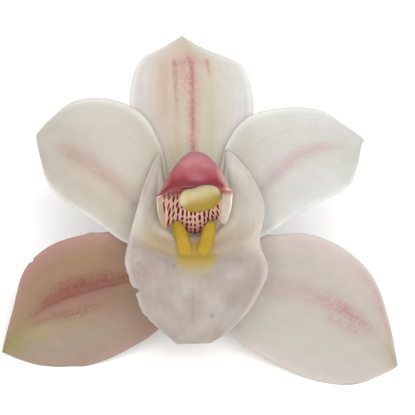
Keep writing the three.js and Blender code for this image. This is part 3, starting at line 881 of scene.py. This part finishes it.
def washOver(desk, colour, across, along, washes):
    for acrossAt, acrossReach, alongAt, alongReach, strength, tone in washes:
        bells = desk.bell(across, acrossAt, acrossReach), desk.bell(along, alongAt, alongReach)
        colour = desk.blend(desk.times(*bells, strength), colour, tone)
    return colour


def reliefOf(desk, skin, veins, look):
    cells = desk.times(skin["height"], look["cellRelief"])
    return desk.plus(cells, desk.times(veins["lines"], look["veinRelief"]))


def strokeMask(desk, place, line):
    mask = None
    for start, end in zip(line, line[1:]):
        values = {"place": place, "start": start[:3], "end": end[:3], "from": start[3], "to": end[3]}
        part = desk.group(paintStroke, **values)["mask"]
        mask = part if mask is None else desk.math("MAXIMUM", mask, part)
    return mask


def tepalMaterial(name, look):
    material, desk, shader = newMaterial(name, **sheet["skin"])
    across, along, face = desk.read("across"), desk.read("along"), desk.read("face")
    place = desk.read("spot", "Vector")
    side = desk.absolute(across)
    colour = desk.blend(desk.ramp(side, *sheet["margin"]), look["face"], look["margin"])
    colour = desk.blend(desk.ramp(along, *sheet["heart"]), colour, look["heart"])
    colour = washOver(desk, colour, across, along, look["washes"])
    veins = desk.group(longVeins, across=across, along=along, count=look["veinCount"], seed=look["seed"])
    colour = desk.blend(desk.times(veins["lines"], look["veinStrength"]), colour, look["vein"])
    streak = desk.ramp(veins["streaks"], 0.35, 0.75)
    colour = desk.blend(desk.times(streak, look["streakStrength"]), colour, look["streak"])
    for tone, grain, cover, line in look["strokes"]:
        specks = desk.group(stipple, across=across, along=along, grain=grain, cover=cover)["specks"]
        shown = desk.ramp(face, 0.2, 1.0, look["backShare"], 1.0)
        colour = desk.blend(desk.times(strokeMask(desk, place, line), specks, shown), colour, tone)
    # painted light: the rim and tip are painted lighter, for light shining through the thin margins and
    # against the shade where sheets overlap
    rim = desk.math("MAXIMUM", desk.ramp(side, *sheet["rim"]), desk.ramp(along, *sheet["tip"]))
    colour = desk.blend(desk.times(rim, look["rimLightStrength"]), colour, look["rim"])
    skin = desk.group(tissue, place=place, size=sheet["cellSize"])
    colour = desk.shade(colour, desk.ramp(skin["tone"], 0.3, 0.7, *sheet["unevenTone"]))
    height = reliefOf(desk, skin, veins, sheet)
    roughness = desk.ramp(skin["tone"], 0.2, 0.8, *sheet["roughness"])
    finishSurface(desk, shader, colour, height, sheet["relief"], roughness)
    throughLight(desk, shader, colour)
    return material


# Washes are soft patches of another tone: [across, its reach, along, its reach, strength, colour], where
# across is -1 and 1 at the margins and along is 0 at the claw and 1 at the tip. Strokes are [colour, grain,
# cover, line], and a line goes through [u, v, half width, strength], mm.
rose = tint(178, 104, 110)
dorsalLook = {
    "face": tint(197, 187, 170), "margin": tint(204, 203, 201), "heart": tint(197, 190, 170),
    "washes": [
        [-0.85, 0.35, 0.55, 0.4, 0.8, tint(199, 192, 189)],
        [-0.42, 0.22, 0.62, 0.4, 0.7, tint(194, 178, 164)],
        [0.4, 0.25, 0.45, 0.4, 0.7, tint(196, 191, 177)],
        [0.0, 0.6, 1.0, 0.16, 0.9, tint(194, 191, 174)],
        [0.9, 0.4, 0.6, 0.4, 0.8, tint(205, 205, 203)],
        [-0.05, 0.34, 0.79, 0.07, 0.4, tint(194, 164, 156)],
    ],
    "strokes": [
        [tint(186, 158, 138), 22.0, 0.8, [[-7.6, 38.5, 1.6, 0.5], [-7.2, 27.0, 1.6, 0.35]]],
        [tint(186, 138, 132), 32.0, 0.45, [[-2.6, 39.4, 2.0, 0.6], [-2.4, 32.0, 2.0, 0.35]]],
        [tint(184, 134, 134), 30.0, 0.6, [
            [-4.8, 39.5, 1.0, 0.45], [-1.4, 40.2, 1.2, 0.45], [3.4, 39.7, 1.1, 0.4]]],
        [tint(160, 104, 84), 32.0, 0.45, [
            [-4.7, 39.8, 0.55, 0.8], [-4.4, 32.2, 0.6, 0.6], [-4.0, 26.0, 0.6, 0.15]]],
        [tint(180, 158, 108), 24.0, 0.6, [[-4.3, 30.0, 0.9, 0.3], [-3.8, 18.0, 1.0, 0.4]]],
        [tint(170, 98, 106), 32.0, 0.5, [
            [3.3, 40.1, 0.5, 0.6], [3.8, 37.6, 0.5, 0.6], [4.1, 35.5, 0.5, 0.1]]],
        [tint(180, 170, 114), 24.0, 0.55, [
            [4.4, 37.0, 1.0, 0.3], [4.4, 29.0, 1.1, 0.5], [4.2, 18.0, 1.1, 0.35]]],
        [rose, 32.0, 0.1, [
            [-1.0, 40.6, 1.4, 0.35], [-0.3, 36.0, 2.0, 0.55], [-0.2, 30.0, 1.9, 0.5],
            [-0.1, 16.0, 1.3, 0.5]]],
        [tint(164, 88, 90), 34.0, 0.5, [
            [-1.9, 41.8, 0.4, 0.3], [-0.4, 39.4, 0.6, 0.8], [-0.25, 28.0, 0.7, 0.75],
            [-0.1, 16.0, 0.7, 0.6]]],
    ],
    "veinCount": 9.0, "veinStrength": 0.14, "vein": tint(182, 162, 138), "seed": 1.0,
    "streakStrength": 0.2, "streak": tint(200, 190, 176), "backShare": 0.5,
    "rim": tint(226, 225, 222), "rimLightStrength": 0.6,
}
leftPetalLook = {
    "face": tint(191, 185, 175), "margin": tint(197, 194, 190), "heart": tint(198, 191, 172),
    "washes": [
        [-0.55, 0.35, 0.45, 0.35, 0.7, tint(184, 176, 158)],
        [-0.8, 0.3, 0.8, 0.15, 0.6, tint(176, 162, 154)],
        [0.5, 0.35, 0.85, 0.2, 0.6, tint(182, 180, 164)],
        [0.9, 0.3, 0.35, 0.25, 0.5, tint(184, 177, 156)],
    ],
    "strokes": [
        [tint(178, 146, 138), 30.0, 0.65, [
            [-33.6, 18.8, 2.0, 0.4], [-29.8, 17.2, 3.0, 0.55], [-25.6, 14.6, 2.8, 0.6],
            [-20.0, 10.2, 2.5, 0.55], [-14.6, 4.6, 2.3, 0.5]]],
        [tint(170, 126, 120), 40.0, 0.0, [
            [-31.8, 17.6, 1.9, 0.4], [-26.0, 14.6, 1.9, 0.45], [-17.5, 7.6, 1.5, 0.35]]],
    ],
    "veinCount": 11.0, "veinStrength": 0.08, "vein": tint(172, 160, 142), "seed": 2.0,
    "streakStrength": 0.18, "streak": tint(194, 189, 177), "backShare": 0.35,
    "rim": tint(226, 224, 218), "rimLightStrength": 0.6,
}
rightPetalLook = {
    "face": tint(196, 195, 191), "margin": tint(202, 203, 201), "heart": tint(190, 185, 173),
    "washes": [
        [-0.6, 0.4, 0.3, 0.25, 0.6, tint(190, 184, 168)],
        [0.6, 0.3, 0.9, 0.15, 0.6, tint(190, 189, 176)],
    ],
    "strokes": [
        [tint(188, 156, 156), 28.0, 0.65, [
            [15.6, 7.6, 2.2, 0.35], [21.6, 13.1, 2.2, 0.5], [26.1, 16.7, 2.0, 0.55],
            [31.6, 18.5, 1.7, 0.5], [36.6, 19.2, 1.0, 0.35]]],
        [tint(180, 142, 144), 40.0, 0.0, [
            [20.0, 12.0, 1.6, 0.3], [27.0, 17.2, 1.6, 0.35], [33.0, 18.8, 1.1, 0.3]]],
    ],
    "veinCount": 11.0, "veinStrength": 0.08, "vein": tint(180, 173, 160), "seed": 3.0,
    "streakStrength": 0.18, "streak": tint(202, 200, 190), "backShare": 0.35,
    "rim": tint(228, 227, 223), "rimLightStrength": 0.6,
}
# the left sepal's darker, warmer face is partly its own tan-pink blush and partly painted shade, as it is
# turned away from the light
leftSepalLook = {
    "face": tint(152, 122, 97), "margin": tint(161, 138, 122), "heart": tint(164, 134, 108),
    "washes": [
        [1.0, 0.2, 0.6, 0.4, 1.0, tint(172, 124, 120)],
        [0.1, 0.5, 0.24, 0.16, 0.6, tint(172, 146, 118)],
        [1.0, 0.35, 0.15, 0.25, 0.8, tint(188, 158, 150)],
        [-0.6, 0.3, 0.6, 0.3, 0.85, tint(160, 148, 132)],
        [-1.0, 0.16, 0.5, 0.4, 0.4, tint(164, 138, 130)],
        [-0.3, 0.2, 0.72, 0.2, 0.7, tint(166, 148, 112)],
        [0.62, 0.2, 0.5, 0.35, 0.7, tint(158, 126, 94)],
        [-0.75, 0.4, 0.2, 0.2, 0.7, tint(164, 132, 118)],
        [-0.1, 0.8, 1.0, 0.17, 0.9, tint(148, 142, 86)],
    ],
    "strokes": [
        [tint(128, 52, 46), 36.0, 0.5, [
            [-16.0, -13.6, 1.5, 0.5], [-22.4, -14.4, 2.0, 0.75], [-28.4, -15.8, 2.4, 0.85],
            [-33.4, -17.6, 2.2, 0.8], [-37.2, -20.4, 1.7, 0.6], [-40.6, -23.8, 1.1, 0.3]]],
        [tint(158, 106, 104), 30.0, 0.45, [
            [-20.4, -18.0, 1.2, 0.4], [-28.4, -20.2, 2.0, 0.65], [-35.4, -22.6, 1.9, 0.6],
            [-40.2, -25.2, 1.3, 0.3]]],
        [tint(130, 80, 66), 34.0, 0.3, [
            [-21.0, -20.2, 0.9, 0.3], [-29.4, -22.9, 1.4, 0.65], [-34.4, -23.9, 1.3, 0.5],
            [-40.0, -25.6, 1.0, 0.3]]],
        [tint(146, 84, 76), 34.0, 0.75, [
            [-15.0, -14.4, 1.0, 0.3], [-24.0, -16.0, 1.5, 0.55], [-32.0, -18.2, 1.6, 0.6],
            [-37.4, -21.0, 1.1, 0.4]]],
        [tint(116, 52, 48), 34.0, 0.45, [
            [-12.0, -13.6, 0.35, 0.4], [-16.6, -15.0, 0.35, 0.5], [-23.9, -16.7, 0.4, 0.6],
            [-31.6, -18.9, 0.55, 0.7], [-37.0, -21.3, 0.4, 0.5], [-40.4, -23.7, 0.3, 0.3]]],
    ],
    "veinCount": 13.0, "veinStrength": 0.13, "vein": tint(136, 106, 82), "seed": 4.0,
    "streakStrength": 0.25, "streak": tint(164, 140, 118), "backShare": 0.5,
    "rim": tint(176, 146, 136), "rimLightStrength": 0.4,
}
rightSepalLook = {
    "face": tint(186, 179, 168), "margin": tint(192, 184, 178), "heart": tint(184, 170, 158),
    "washes": [
        [-1.0, 0.3, 0.4, 0.4, 0.65, tint(204, 188, 184)],
        [-0.9, 0.3, 0.8, 0.2, 0.7, tint(186, 158, 156)],
        [0.5, 0.35, 0.4, 0.3, 0.7, tint(188, 184, 173)],
        [0.0, 0.8, 1.0, 0.12, 0.85, tint(172, 160, 128)],
    ],
    "strokes": [
        [tint(182, 144, 140), 30.0, 0.45, [
            [17.0, -15.8, 2.2, 0.35], [26.4, -17.4, 2.8, 0.5], [32.1, -19.3, 3.1, 0.5],
            [38.4, -23.0, 3.1, 0.5], [44.4, -27.6, 2.2, 0.3]]],
        [tint(168, 108, 112), 30.0, 0.25, [
            [31.0, -18.8, 0.9, 0.3], [35.4, -20.8, 1.4, 0.6], [39.4, -23.0, 1.5, 0.75],
            [43.0, -25.8, 1.2, 0.5], [46.2, -29.0, 0.7, 0.2]]],
        [tint(170, 118, 118), 30.0, 0.2, [
            [34.0, -24.4, 1.2, 0.3], [38.4, -26.6, 1.5, 0.5], [42.6, -29.0, 1.1, 0.25]]],
    ],
    "veinCount": 13.0, "veinStrength": 0.1, "vein": tint(176, 160, 148), "seed": 5.0,
    "streakStrength": 0.2, "streak": tint(194, 188, 180), "backShare": 0.4,
    "rim": tint(206, 198, 194), "rimLightStrength": 0.5,
}

for name, skinName, look, node, slotName in [
    ("dorsalSepal", "dorsalSkin", dorsalLook, "dorsal_sepal", "dorsal_sepal"),
    ("leftPetal", "leftPetalSkin", leftPetalLook, "petal_left", "petals"),
    ("rightPetal", "rightPetalSkin", rightPetalLook, "petal_right", "petals"),
    ("leftSepal", "leftSepalSkin", leftSepalLook, "lateral_sepal_left", "blushed_sepal"),
    ("rightSepal", "rightSepalSkin", rightSepalLook, "lateral_sepal_right", "pale_sepal"),
]:
    dress(name, tepalMaterial(skinName, look), node)
print("tepals dressed")


# lip finish

lipLook = {
    "lobe": tint(165, 153, 144), "pale": tint(177, 169, 162), "side": tint(219, 216, 207),
    "paintedLightSide": tint(246, 241, 235), "paintedLightBed": tint(236, 228, 213), "groove": tint(224, 196, 150),
    "rim": tint(206, 197, 192), "throat": tint(202, 186, 156), "throatRight": tint(206, 196, 178),
    "back": tint(196, 186, 176), "yellow": tint(200, 173, 76), "paleYellow": tint(190, 174, 116),
    "fleck": tint(150, 104, 104), "midline": tint(158, 130, 124),
    # the second wash is painted shade on the midlobe's right margin, where it curls back
    "washes": [[0.62, 0.3, 0.66, 0.08, 0.35, tint(172, 148, 138)],
               [-0.86, 0.22, 0.69, 0.08, 0.8, tint(162, 150, 140)]],
    # small flecks at [u, v] with their radius, mm
    "flecks": [[-13.2, -10.0, 0.4], [-13.2, -12.2, 0.3], [4.6, -22.6, 0.6], [1.2, -19.2, 0.3],
               [-0.8, -16.2, 0.25], [-4.6, -10.6, 0.25]],
    # the yellow blotch: its middle and half width across, and down the lip where it starts and ends, mm
    "blotch": {"centre": 0.7, "half": 4.4, "start": (-3.6, -7.2), "full": -9.6, "end": -14.0},
    "midlobe": (-0.03, 0.05),  # where the midlobe's colour comes in, along the lip beside the crease
    "rimLightFrom": (0.88, 1.0), "rimLightStrength": 0.75,
    "midlineAt": {"along": 0.78, "length": 0.12, "width": 0.4, "strength": 0.5},
    "fleckStrength": 0.5, "veinCount": 12.0, "seed": 6.0, "streakStrength": 0.07,
    "cellSize": 0.35, "roughness": (0.42, 0.55), "unevenTone": (0.96, 1.03),
    "relief": 0.14, "cellRelief": 0.45, "veinRelief": -0.3,
}


def throatColour(desk, look, u, v, side, along):
    # the side lobes, lighter towards the upper left as painted light, with the warm throat between them, a
    # bed near the claw painted pale as painted light and a yellow groove that is partly painted light
    # painted light: the side lobes are lighter towards the upper left, where they lie in shade
    leftward = desk.minus(v, desk.times(u, 0.35))
    colour = desk.blend(desk.ramp(leftward, 3.0, 12.0, 0.0, 0.85), look["side"], look["paintedLightSide"])
    deep = desk.minus(side, desk.ramp(along, 0.36, 0.5, 0.0, 0.28))
    throat = desk.blend(desk.ramp(u, 3.0, 9.0), look["throat"], look["throatRight"])
    colour = desk.blend(desk.ramp(deep, 0.75, 0.3), colour, throat)
    # painted light: the bed near the claw is painted pale where the column shades it
    paintedLightBed = desk.times(desk.ramp(along, 0.42, 0.3), desk.ramp(side, 0.8, 0.6))
    colour = desk.blend(paintedLightBed, colour, look["paintedLightBed"])
    # a yellow wash down the groove between the ridges, painted lighter as painted light where they shade it
    groove = desk.times(desk.bell(u, 0.5, 1.6), desk.ramp(along, 0.3, 0.4))
    return desk.blend(groove, colour, look["groove"])


def yellowBlotch(desk, look, colour, u, v, clouds, face):
    # pale yellow all over the blotch and a deeper yellow in its upper part
    blotch = look["blotch"]
    away = desk.plus(desk.absolute(desk.minus(u, blotch["centre"])), desk.ramp(clouds, 0.2, 0.8, -0.8, 0.8))
    within = desk.ramp(away, blotch["half"] + 1.3, blotch["half"] - 2.0)
    spread = desk.times(within, desk.ramp(v, *blotch["start"]), face)
    fade = desk.ramp(v, blotch["end"], blotch["full"])
    colour = desk.blend(desk.times(spread, fade, 0.9), colour, look["paleYellow"])
    core = desk.ramp(v, blotch["full"] - 2.2, blotch["full"] + 0.8)
    return desk.blend(desk.times(spread, core, 0.85), colour, look["yellow"])


def lipMaterial(name, look):
    material, desk, shader = newMaterial(name, **sheet["skin"])
    across, along, face = desk.read("across"), desk.read("along"), desk.read("face")
    place = desk.read("spot", "Vector")
    u, v = desk.parts(place)[:2]
    side = desk.absolute(across)
    skin = desk.group(tissue, place=place, size=look["cellSize"])
    clouds = desk.noise(place, 0.2, 2.0, 0.4)
    midlobe = desk.blend(desk.ramp(clouds, 0.3, 0.75), look["lobe"], look["pale"])
    midlobe = washOver(desk, midlobe, across, along, look["washes"])
    crease = desk.plus(along, desk.times(across, lip["crease"]["slant"]))
    below = desk.ramp(crease, *(lip["crease"]["at"] + beside for beside in look["midlobe"]))
    colour = desk.blend(below, throatColour(desk, look, u, v, side, along), midlobe)
    # painted light: the margins are painted lighter, for light shining through them
    rim = desk.times(desk.ramp(side, *look["rimLightFrom"]), look["rimLightStrength"])
    colour = desk.blend(rim, colour, look["rim"])
    colour = desk.blend(desk.ramp(face, 0.45, 0.1), colour, look["back"])
    colour = yellowBlotch(desk, look, colour, u, v, clouds, face)
    at = look["midlineAt"]
    line = desk.times(desk.bell(u, 0.0, at["width"]), desk.bell(along, at["along"], at["length"]))
    colour = desk.blend(desk.times(line, at["strength"]), colour, look["midline"])
    veins = desk.group(longVeins, across=across, along=along, count=look["veinCount"], seed=look["seed"])
    streak = desk.ramp(veins["streaks"], 0.35, 0.75)
    colour = desk.blend(desk.times(streak, look["streakStrength"]), colour, look["rim"])
    for spotU, spotV, radius in look["flecks"]:
        dot = desk.times(desk.bell(u, spotU, radius), desk.bell(v, spotV, radius))
        colour = desk.blend(desk.times(dot, face, look["fleckStrength"]), colour, look["fleck"])
    colour = desk.shade(colour, desk.ramp(skin["tone"], 0.3, 0.7, *look["unevenTone"]))
    height = reliefOf(desk, skin, veins, look)
    roughness = desk.ramp(skin["tone"], 0.2, 0.8, *look["roughness"])
    finishSurface(desk, shader, colour, height, look["relief"], roughness)
    throughLight(desk, shader, colour)
    return material


ridgeLook = {
    "top": tint(172, 145, 52), "foot": tint(184, 158, 84), "deep": tint(166, 138, 46),
    "footFrom": (0.2, 0.7),  # down the ridge's side; the foot's lighter colour is painted light against the shade on the steep sides
    "skin": {"roughness": 0.5, "subsurface": 0.4, "radius": 1.6, "specular": 0.25},
    "cellSize": 0.3, "relief": 0.08,
}


def ridgeMaterial(name, look):
    material, desk, shader = newMaterial(name, **look["skin"])
    skin = desk.group(tissue, place=desk.read("spot", "Vector"), size=look["cellSize"])
    colour = desk.blend(desk.ramp(skin["tone"], 0.35, 0.65), look["top"], look["deep"])
    # painted light: the ridge's sides are lighter towards the foot, against the shade they would show
    colour = desk.blend(desk.ramp(desk.read("low"), *look["footFrom"]), colour, look["foot"])
    finishSurface(desk, shader, colour, skin["height"], look["relief"])
    return material


dress("lip", lipMaterial("lipSkin", lipLook), "lip")
ridgeSkin = ridgeMaterial("ridgeSkin", ridgeLook)
for name in ridges["crests"]:
    dress(name, ridgeSkin, "lip")
print("lip dressed")


# column, cap and stalk finish

columnLook = {
    "hood": tint(174, 112, 118), "deep": tint(122, 38, 46), "highlightMauve": tint(156, 98, 112),
    "tan": tint(160, 112, 94), "cream": tint(222, 214, 202), "leftCream": tint(184, 172, 150),
    "hollow": tint(226, 188, 172), "dash": tint(78, 10, 20), "dashPale": tint(104, 22, 30),
    "throat": tint(190, 128, 112), "pink": tint(196, 162, 148), "under": tint(168, 98, 90),
    "edge": tint(112, 44, 48), "shadedWingEdge": tint(168, 156, 134),
    "hoodFrom": (9.4, 16.2),  # v over which the deep red pales up the hood, mm
    "edgeFrom": (0.95, 0.985),  # along the column, where the rim's edge gets painted shade
    "glow": {"u": 1.0, "v": 9.6, "width": 1.7, "height": 2.2, "strength": 0.85},  # a painted mauve highlight, above the cap
    # v where the shade under the rim ends, the throat's starts and the dashes come in, mm
    "underEnd": (7.4, 5.2), "throatFrom": (1.0, -2.8), "dashesFrom": (8.2, 6.0),
    "length": 33.0,  # mm along the hollow from foot to rim
    # the dashes: rows and places along them in mm, and their size as a share of those
    "dashes": {"spacing": 1.08, "pitch": 1.8, "width": 0.3, "length": 0.5},
    # the dashed face's edges at the height of the rim, mm, and how fast they draw in below it
    "dashedFace": {"left": -7.7, "right": 7.0, "rim": 6.0, "taper": 0.12},
    "skin": {"roughness": 0.5, "subsurface": 0.15, "radius": 0.8, "specular": 0.25},
    "cellSize": 0.25, "unevenTone": (0.95, 1.04), "relief": 0.06,
}


def hoodColour(desk, look, place, along, cream):
    # dark red at the rim, paler up the back, a painted mauve highlight above the cap, tan and pink at its
    # corners, cream on the wings' backs and painted shade on the rim's edge
    u, v, w = desk.parts(place)
    blur = desk.ramp(desk.noise(place, 0.35, 2.0), 0.3, 0.7, -0.4, 0.4)
    colour = desk.blend(desk.ramp(desk.plus(v, blur), *look["hoodFrom"]), look["deep"], look["hood"])
    # painted highlight: a mauve patch where the hood catches the light
    glow = look["glow"]
    paintedHighlight = desk.times(desk.bell(u, glow["u"], glow["width"]), desk.bell(v, glow["v"], glow["height"]))
    paintedHighlight = desk.times(paintedHighlight, glow["strength"])
    leftCorner = desk.times(desk.ramp(desk.plus(u, desk.times(v, -0.3)), -8.0, -9.8), 0.85)
    rightCorner = desk.times(desk.ramp(desk.plus(u, desk.times(v, 0.3)), 8.8, 11.2), 0.8)
    leftTip = desk.times(desk.ramp(u, -5.5, -7.0), desk.ramp(v, 8.4, 7.0), 0.5)
    wings = desk.math("MAXIMUM", desk.ramp(w, 15.0, 6.0), desk.ramp(v, 6.6, 5.6))
    # painted shade: the rim's rounded edge is painted dark red over the light that it catches
    rim = desk.times(desk.ramp(along, *look["edgeFrom"]), desk.ramp(u, 8.2, 6.8))
    for mask, tone in [(paintedHighlight, look["highlightMauve"]), (leftCorner, look["tan"]), (rightCorner, look["pink"]),
                       (leftTip, look["pink"]), (wings, cream), (rim, look["edge"])]:
        colour = desk.blend(mask, colour, tone)
    return colour


def hollowColour(desk, look, place, along, cream):
    # the dashed face between the cream insides of the wings
    u, v = desk.parts(place)[:2]
    colour = desk.blend(desk.ramp(v, *look["underEnd"]), look["under"], look["hollow"])
    colour = desk.blend(desk.ramp(v, *look["throatFrom"]), colour, look["throat"])
    dashes = desk.group(dashRows, across=desk.plus(u, 40.0), along=desk.times(along, look["length"]),
                        **look["dashes"])
    edges = look["dashedFace"]
    narrow = desk.times(desk.minus(edges["rim"], v), edges["taper"])
    fromLeft = desk.minus(desk.minus(u, edges["left"]), narrow)
    fromRight = desk.minus(desk.minus(edges["right"], u), desk.times(narrow, 0.4))
    within = desk.times(desk.ramp(fromLeft, -0.3, 0.3), desk.ramp(fromRight, -0.3, 0.3))
    keep = desk.times(desk.ramp(v, *look["dashesFrom"]), within)
    dark = desk.blend(dashes["shade"], look["dash"], look["dashPale"])
    colour = desk.blend(desk.times(dashes["mask"], keep), colour, dark)
    wingTop = desk.ramp(u, 0.0, 6.0, 6.6, 8.0)
    wing = desk.times(desk.minus(1.0, within), desk.ramp(v, wingTop, 5.8))
    return desk.blend(wing, colour, cream)


def columnMaterial(name, look):
    material, desk, shader = newMaterial(name, **look["skin"])
    along, inside, place = desk.read("along"), desk.read("inside"), desk.read("spot", "Vector")
    u, v = desk.parts(place)[:2]
    cream = desk.blend(desk.ramp(u, -2.0, 2.0), look["leftCream"], look["cream"])
    outer = hoodColour(desk, look, place, along, cream)
    inner = hollowColour(desk, look, place, along, cream)
    colour = desk.blend(desk.ramp(inside, 0.3, 0.7), outer, inner)
    # painted shade: the wings' rounded edges are painted darker over the light that they catch
    shadedWingEdge = desk.times(desk.bell(inside, 0.5, 0.25), desk.ramp(v, 6.8, 5.8), 0.9)
    colour = desk.blend(shadedWingEdge, colour, look["shadedWingEdge"])
    skin = desk.group(tissue, place=place, size=look["cellSize"])
    colour = desk.shade(colour, desk.ramp(skin["tone"], 0.3, 0.7, *look["unevenTone"]))
    finishSurface(desk, shader, colour, skin["height"], look["relief"])
    return material


# the cap's lighter top and darker olive-gold underside are partly painted shade and partly the yellow of the
# pollinia under it
capLook = {
    "top": tint(162, 151, 114), "low": tint(128, 106, 20), "edge": tint(180, 168, 132),
    "slope": -0.25,  # below 0 the darker underside reaches further up the right end
    "undersideShadeFrom": (0.7, -0.6),  # from its top at 1 to its underside at -1
    "edgeFrom": (0.5, 0.95), "edgeStrength": 0.8,
    "skin": {"roughness": 0.48, "subsurface": 0.25, "radius": 0.9, "specular": 0.3},
    "cellSize": 0.22, "unevenTone": (0.96, 1.03), "relief": 0.05,
}


def capMaterial(name, look):
    material, desk, shader = newMaterial(name, **look["skin"])
    across = desk.read("across")
    slope = desk.plus(desk.read("high"), desk.times(across, look["slope"]))
    # painted shade, together with the pollinia's yellow: darker towards the underside
    colour = desk.blend(desk.ramp(slope, *look["undersideShadeFrom"]), look["top"], look["low"])
    ends = desk.times(desk.ramp(desk.absolute(across), *look["edgeFrom"]), desk.ramp(slope, -0.4, 0.2))
    colour = desk.blend(desk.times(ends, look["edgeStrength"]), colour, look["edge"])
    skin = desk.group(tissue, place=desk.read("spot", "Vector"), size=look["cellSize"])
    colour = desk.shade(colour, desk.ramp(skin["tone"], 0.3, 0.7, *look["unevenTone"]))
    finishSurface(desk, shader, colour, skin["height"], look["relief"])
    return material


stalkLook = {
    "green": tint(168, 170, 120), "rib": tint(180, 176, 136), "rose": tint(162, 120, 102),
    "boss": tint(186, 170, 148), "cut": tint(176, 158, 112),
    "bossFrom": (0.42, 0.28), "cutFrom": (0.985, 1.0),  # along, from the boss to the cut end
    "blushStrength": 0.55,
    "skin": {"roughness": 0.5, "subsurface": 0.1, "radius": 1.0},
    "cellSize": 0.3, "relief": 0.1,
}


def stalkMaterial(name, look):
    material, desk, shader = newMaterial(name, **look["skin"])
    along, rib = desk.read("along"), desk.read("rib")
    skin = desk.group(tissue, place=desk.read("spot", "Vector"), size=look["cellSize"])
    colour = desk.blend(rib, look["green"], look["rib"])
    blush = desk.times(desk.ramp(skin["tone"], 0.4, 0.65), desk.ramp(rib, 0.75, 0.2), look["blushStrength"])
    colour = desk.blend(blush, colour, look["rose"])
    colour = desk.blend(desk.ramp(along, *look["bossFrom"]), colour, look["boss"])
    colour = desk.blend(desk.ramp(along, *look["cutFrom"]), colour, look["cut"])
    finishSurface(desk, shader, colour, skin["height"], look["relief"])
    return material


dress("column", columnMaterial("columnSkin", columnLook), "column")
dress("cap", capMaterial("capSkin", capLook), "anther_cap")
dress("stalk", stalkMaterial("stalkSkin", stalkLook), "ovary_stalk")
print("column, cap and stalk dressed")


# floor, light and camera

studio = {
    "floorSize": 6.0,  # m
    "floor": tint(252, 252, 251),
    "floorSkin": {"roughness": 0.8, "specular": 0.1},
    "sky": (1.0, 1.0, 1.0, 1.0),
    "skyStrength": 0.6,
    # where each lamp stands from the heart, how far off and how wide it is in m, and its power in W
    "lamps": {
        "keyLight": [(0.1, -0.75, 0.8), 1.1, 0.8, 15.0],
        "fillLight": [(-1.0, -0.6, 0.8), 1.2, 0.9, 1.5],
    },
}
bpy.ops.mesh.primitive_plane_add(size=studio["floorSize"])
floor = bpy.context.object
floor.name = "studioFloor"
floorMaterial, floorDesk, floorShader = newMaterial("studioPaper", **studio["floorSkin"])
floorGrain = floorDesk.noise(floorDesk.add("ShaderNodeTexCoord").outputs["Object"], 400.0, 3.0)
floorColour = floorDesk.shade(studio["floor"], floorDesk.ramp(floorGrain, 0.3, 0.7, 0.995, 1.0))
floorDesk.put(floorShader.inputs["Base Color"], floorColour)
floor.data.materials.append(floorMaterial)

world = bpy.data.worlds.new("studioWorld")
world.use_nodes = True
background = world.node_tree.nodes["Background"]
background.inputs["Color"].default_value = studio["sky"]
background.inputs["Strength"].default_value = studio["skyStrength"]
bpy.context.scene.world = world
bpy.context.scene.view_settings.view_transform = "Standard"


def softLight(name, towards, distance, size, power):
    data = bpy.data.lights.new(name, "AREA")
    data.energy = power
    data.size = size
    lamp = bpy.data.objects.new(name, data)
    direction = Vector(towards).normalized()
    lamp.location = Vector(heart * mm) + direction * distance
    lamp.rotation_euler = direction.to_track_quat("Z", "Y").to_euler()
    bpy.context.scene.collection.objects.link(lamp)


for name, settings in studio["lamps"].items():
    softLight(name, *settings)

view = {
    "distance": 700.0,  # mm from the flower's heart
    "frameWidth": 103.75,  # mm across the frame at the heart
    "aim": (3.5, 3.625),  # [u, v] at the middle of the frame
    "sensorWidth": 36.0,
    "farEnd": 20.0,  # m
}
aim = place(np.array([[*view["aim"], 0.0]]), heart)[0]
outward = Vector(lean @ np.array([0.0, 0.0, 1.0]))
cameraData = bpy.data.cameras.new("photoCamera")
cameraData.sensor_width = view["sensorWidth"]
cameraData.lens = view["sensorWidth"] * view["distance"] / view["frameWidth"]
cameraData.clip_end = view["farEnd"]
camera = bpy.data.objects.new("photoCamera", cameraData)
camera.location = Vector(aim) + outward * view["distance"] * mm
camera.rotation_euler = outward.to_track_quat("Z", "Y").to_euler()
bpy.context.scene.collection.objects.link(camera)
bpy.context.scene.camera = camera
print("studio set")
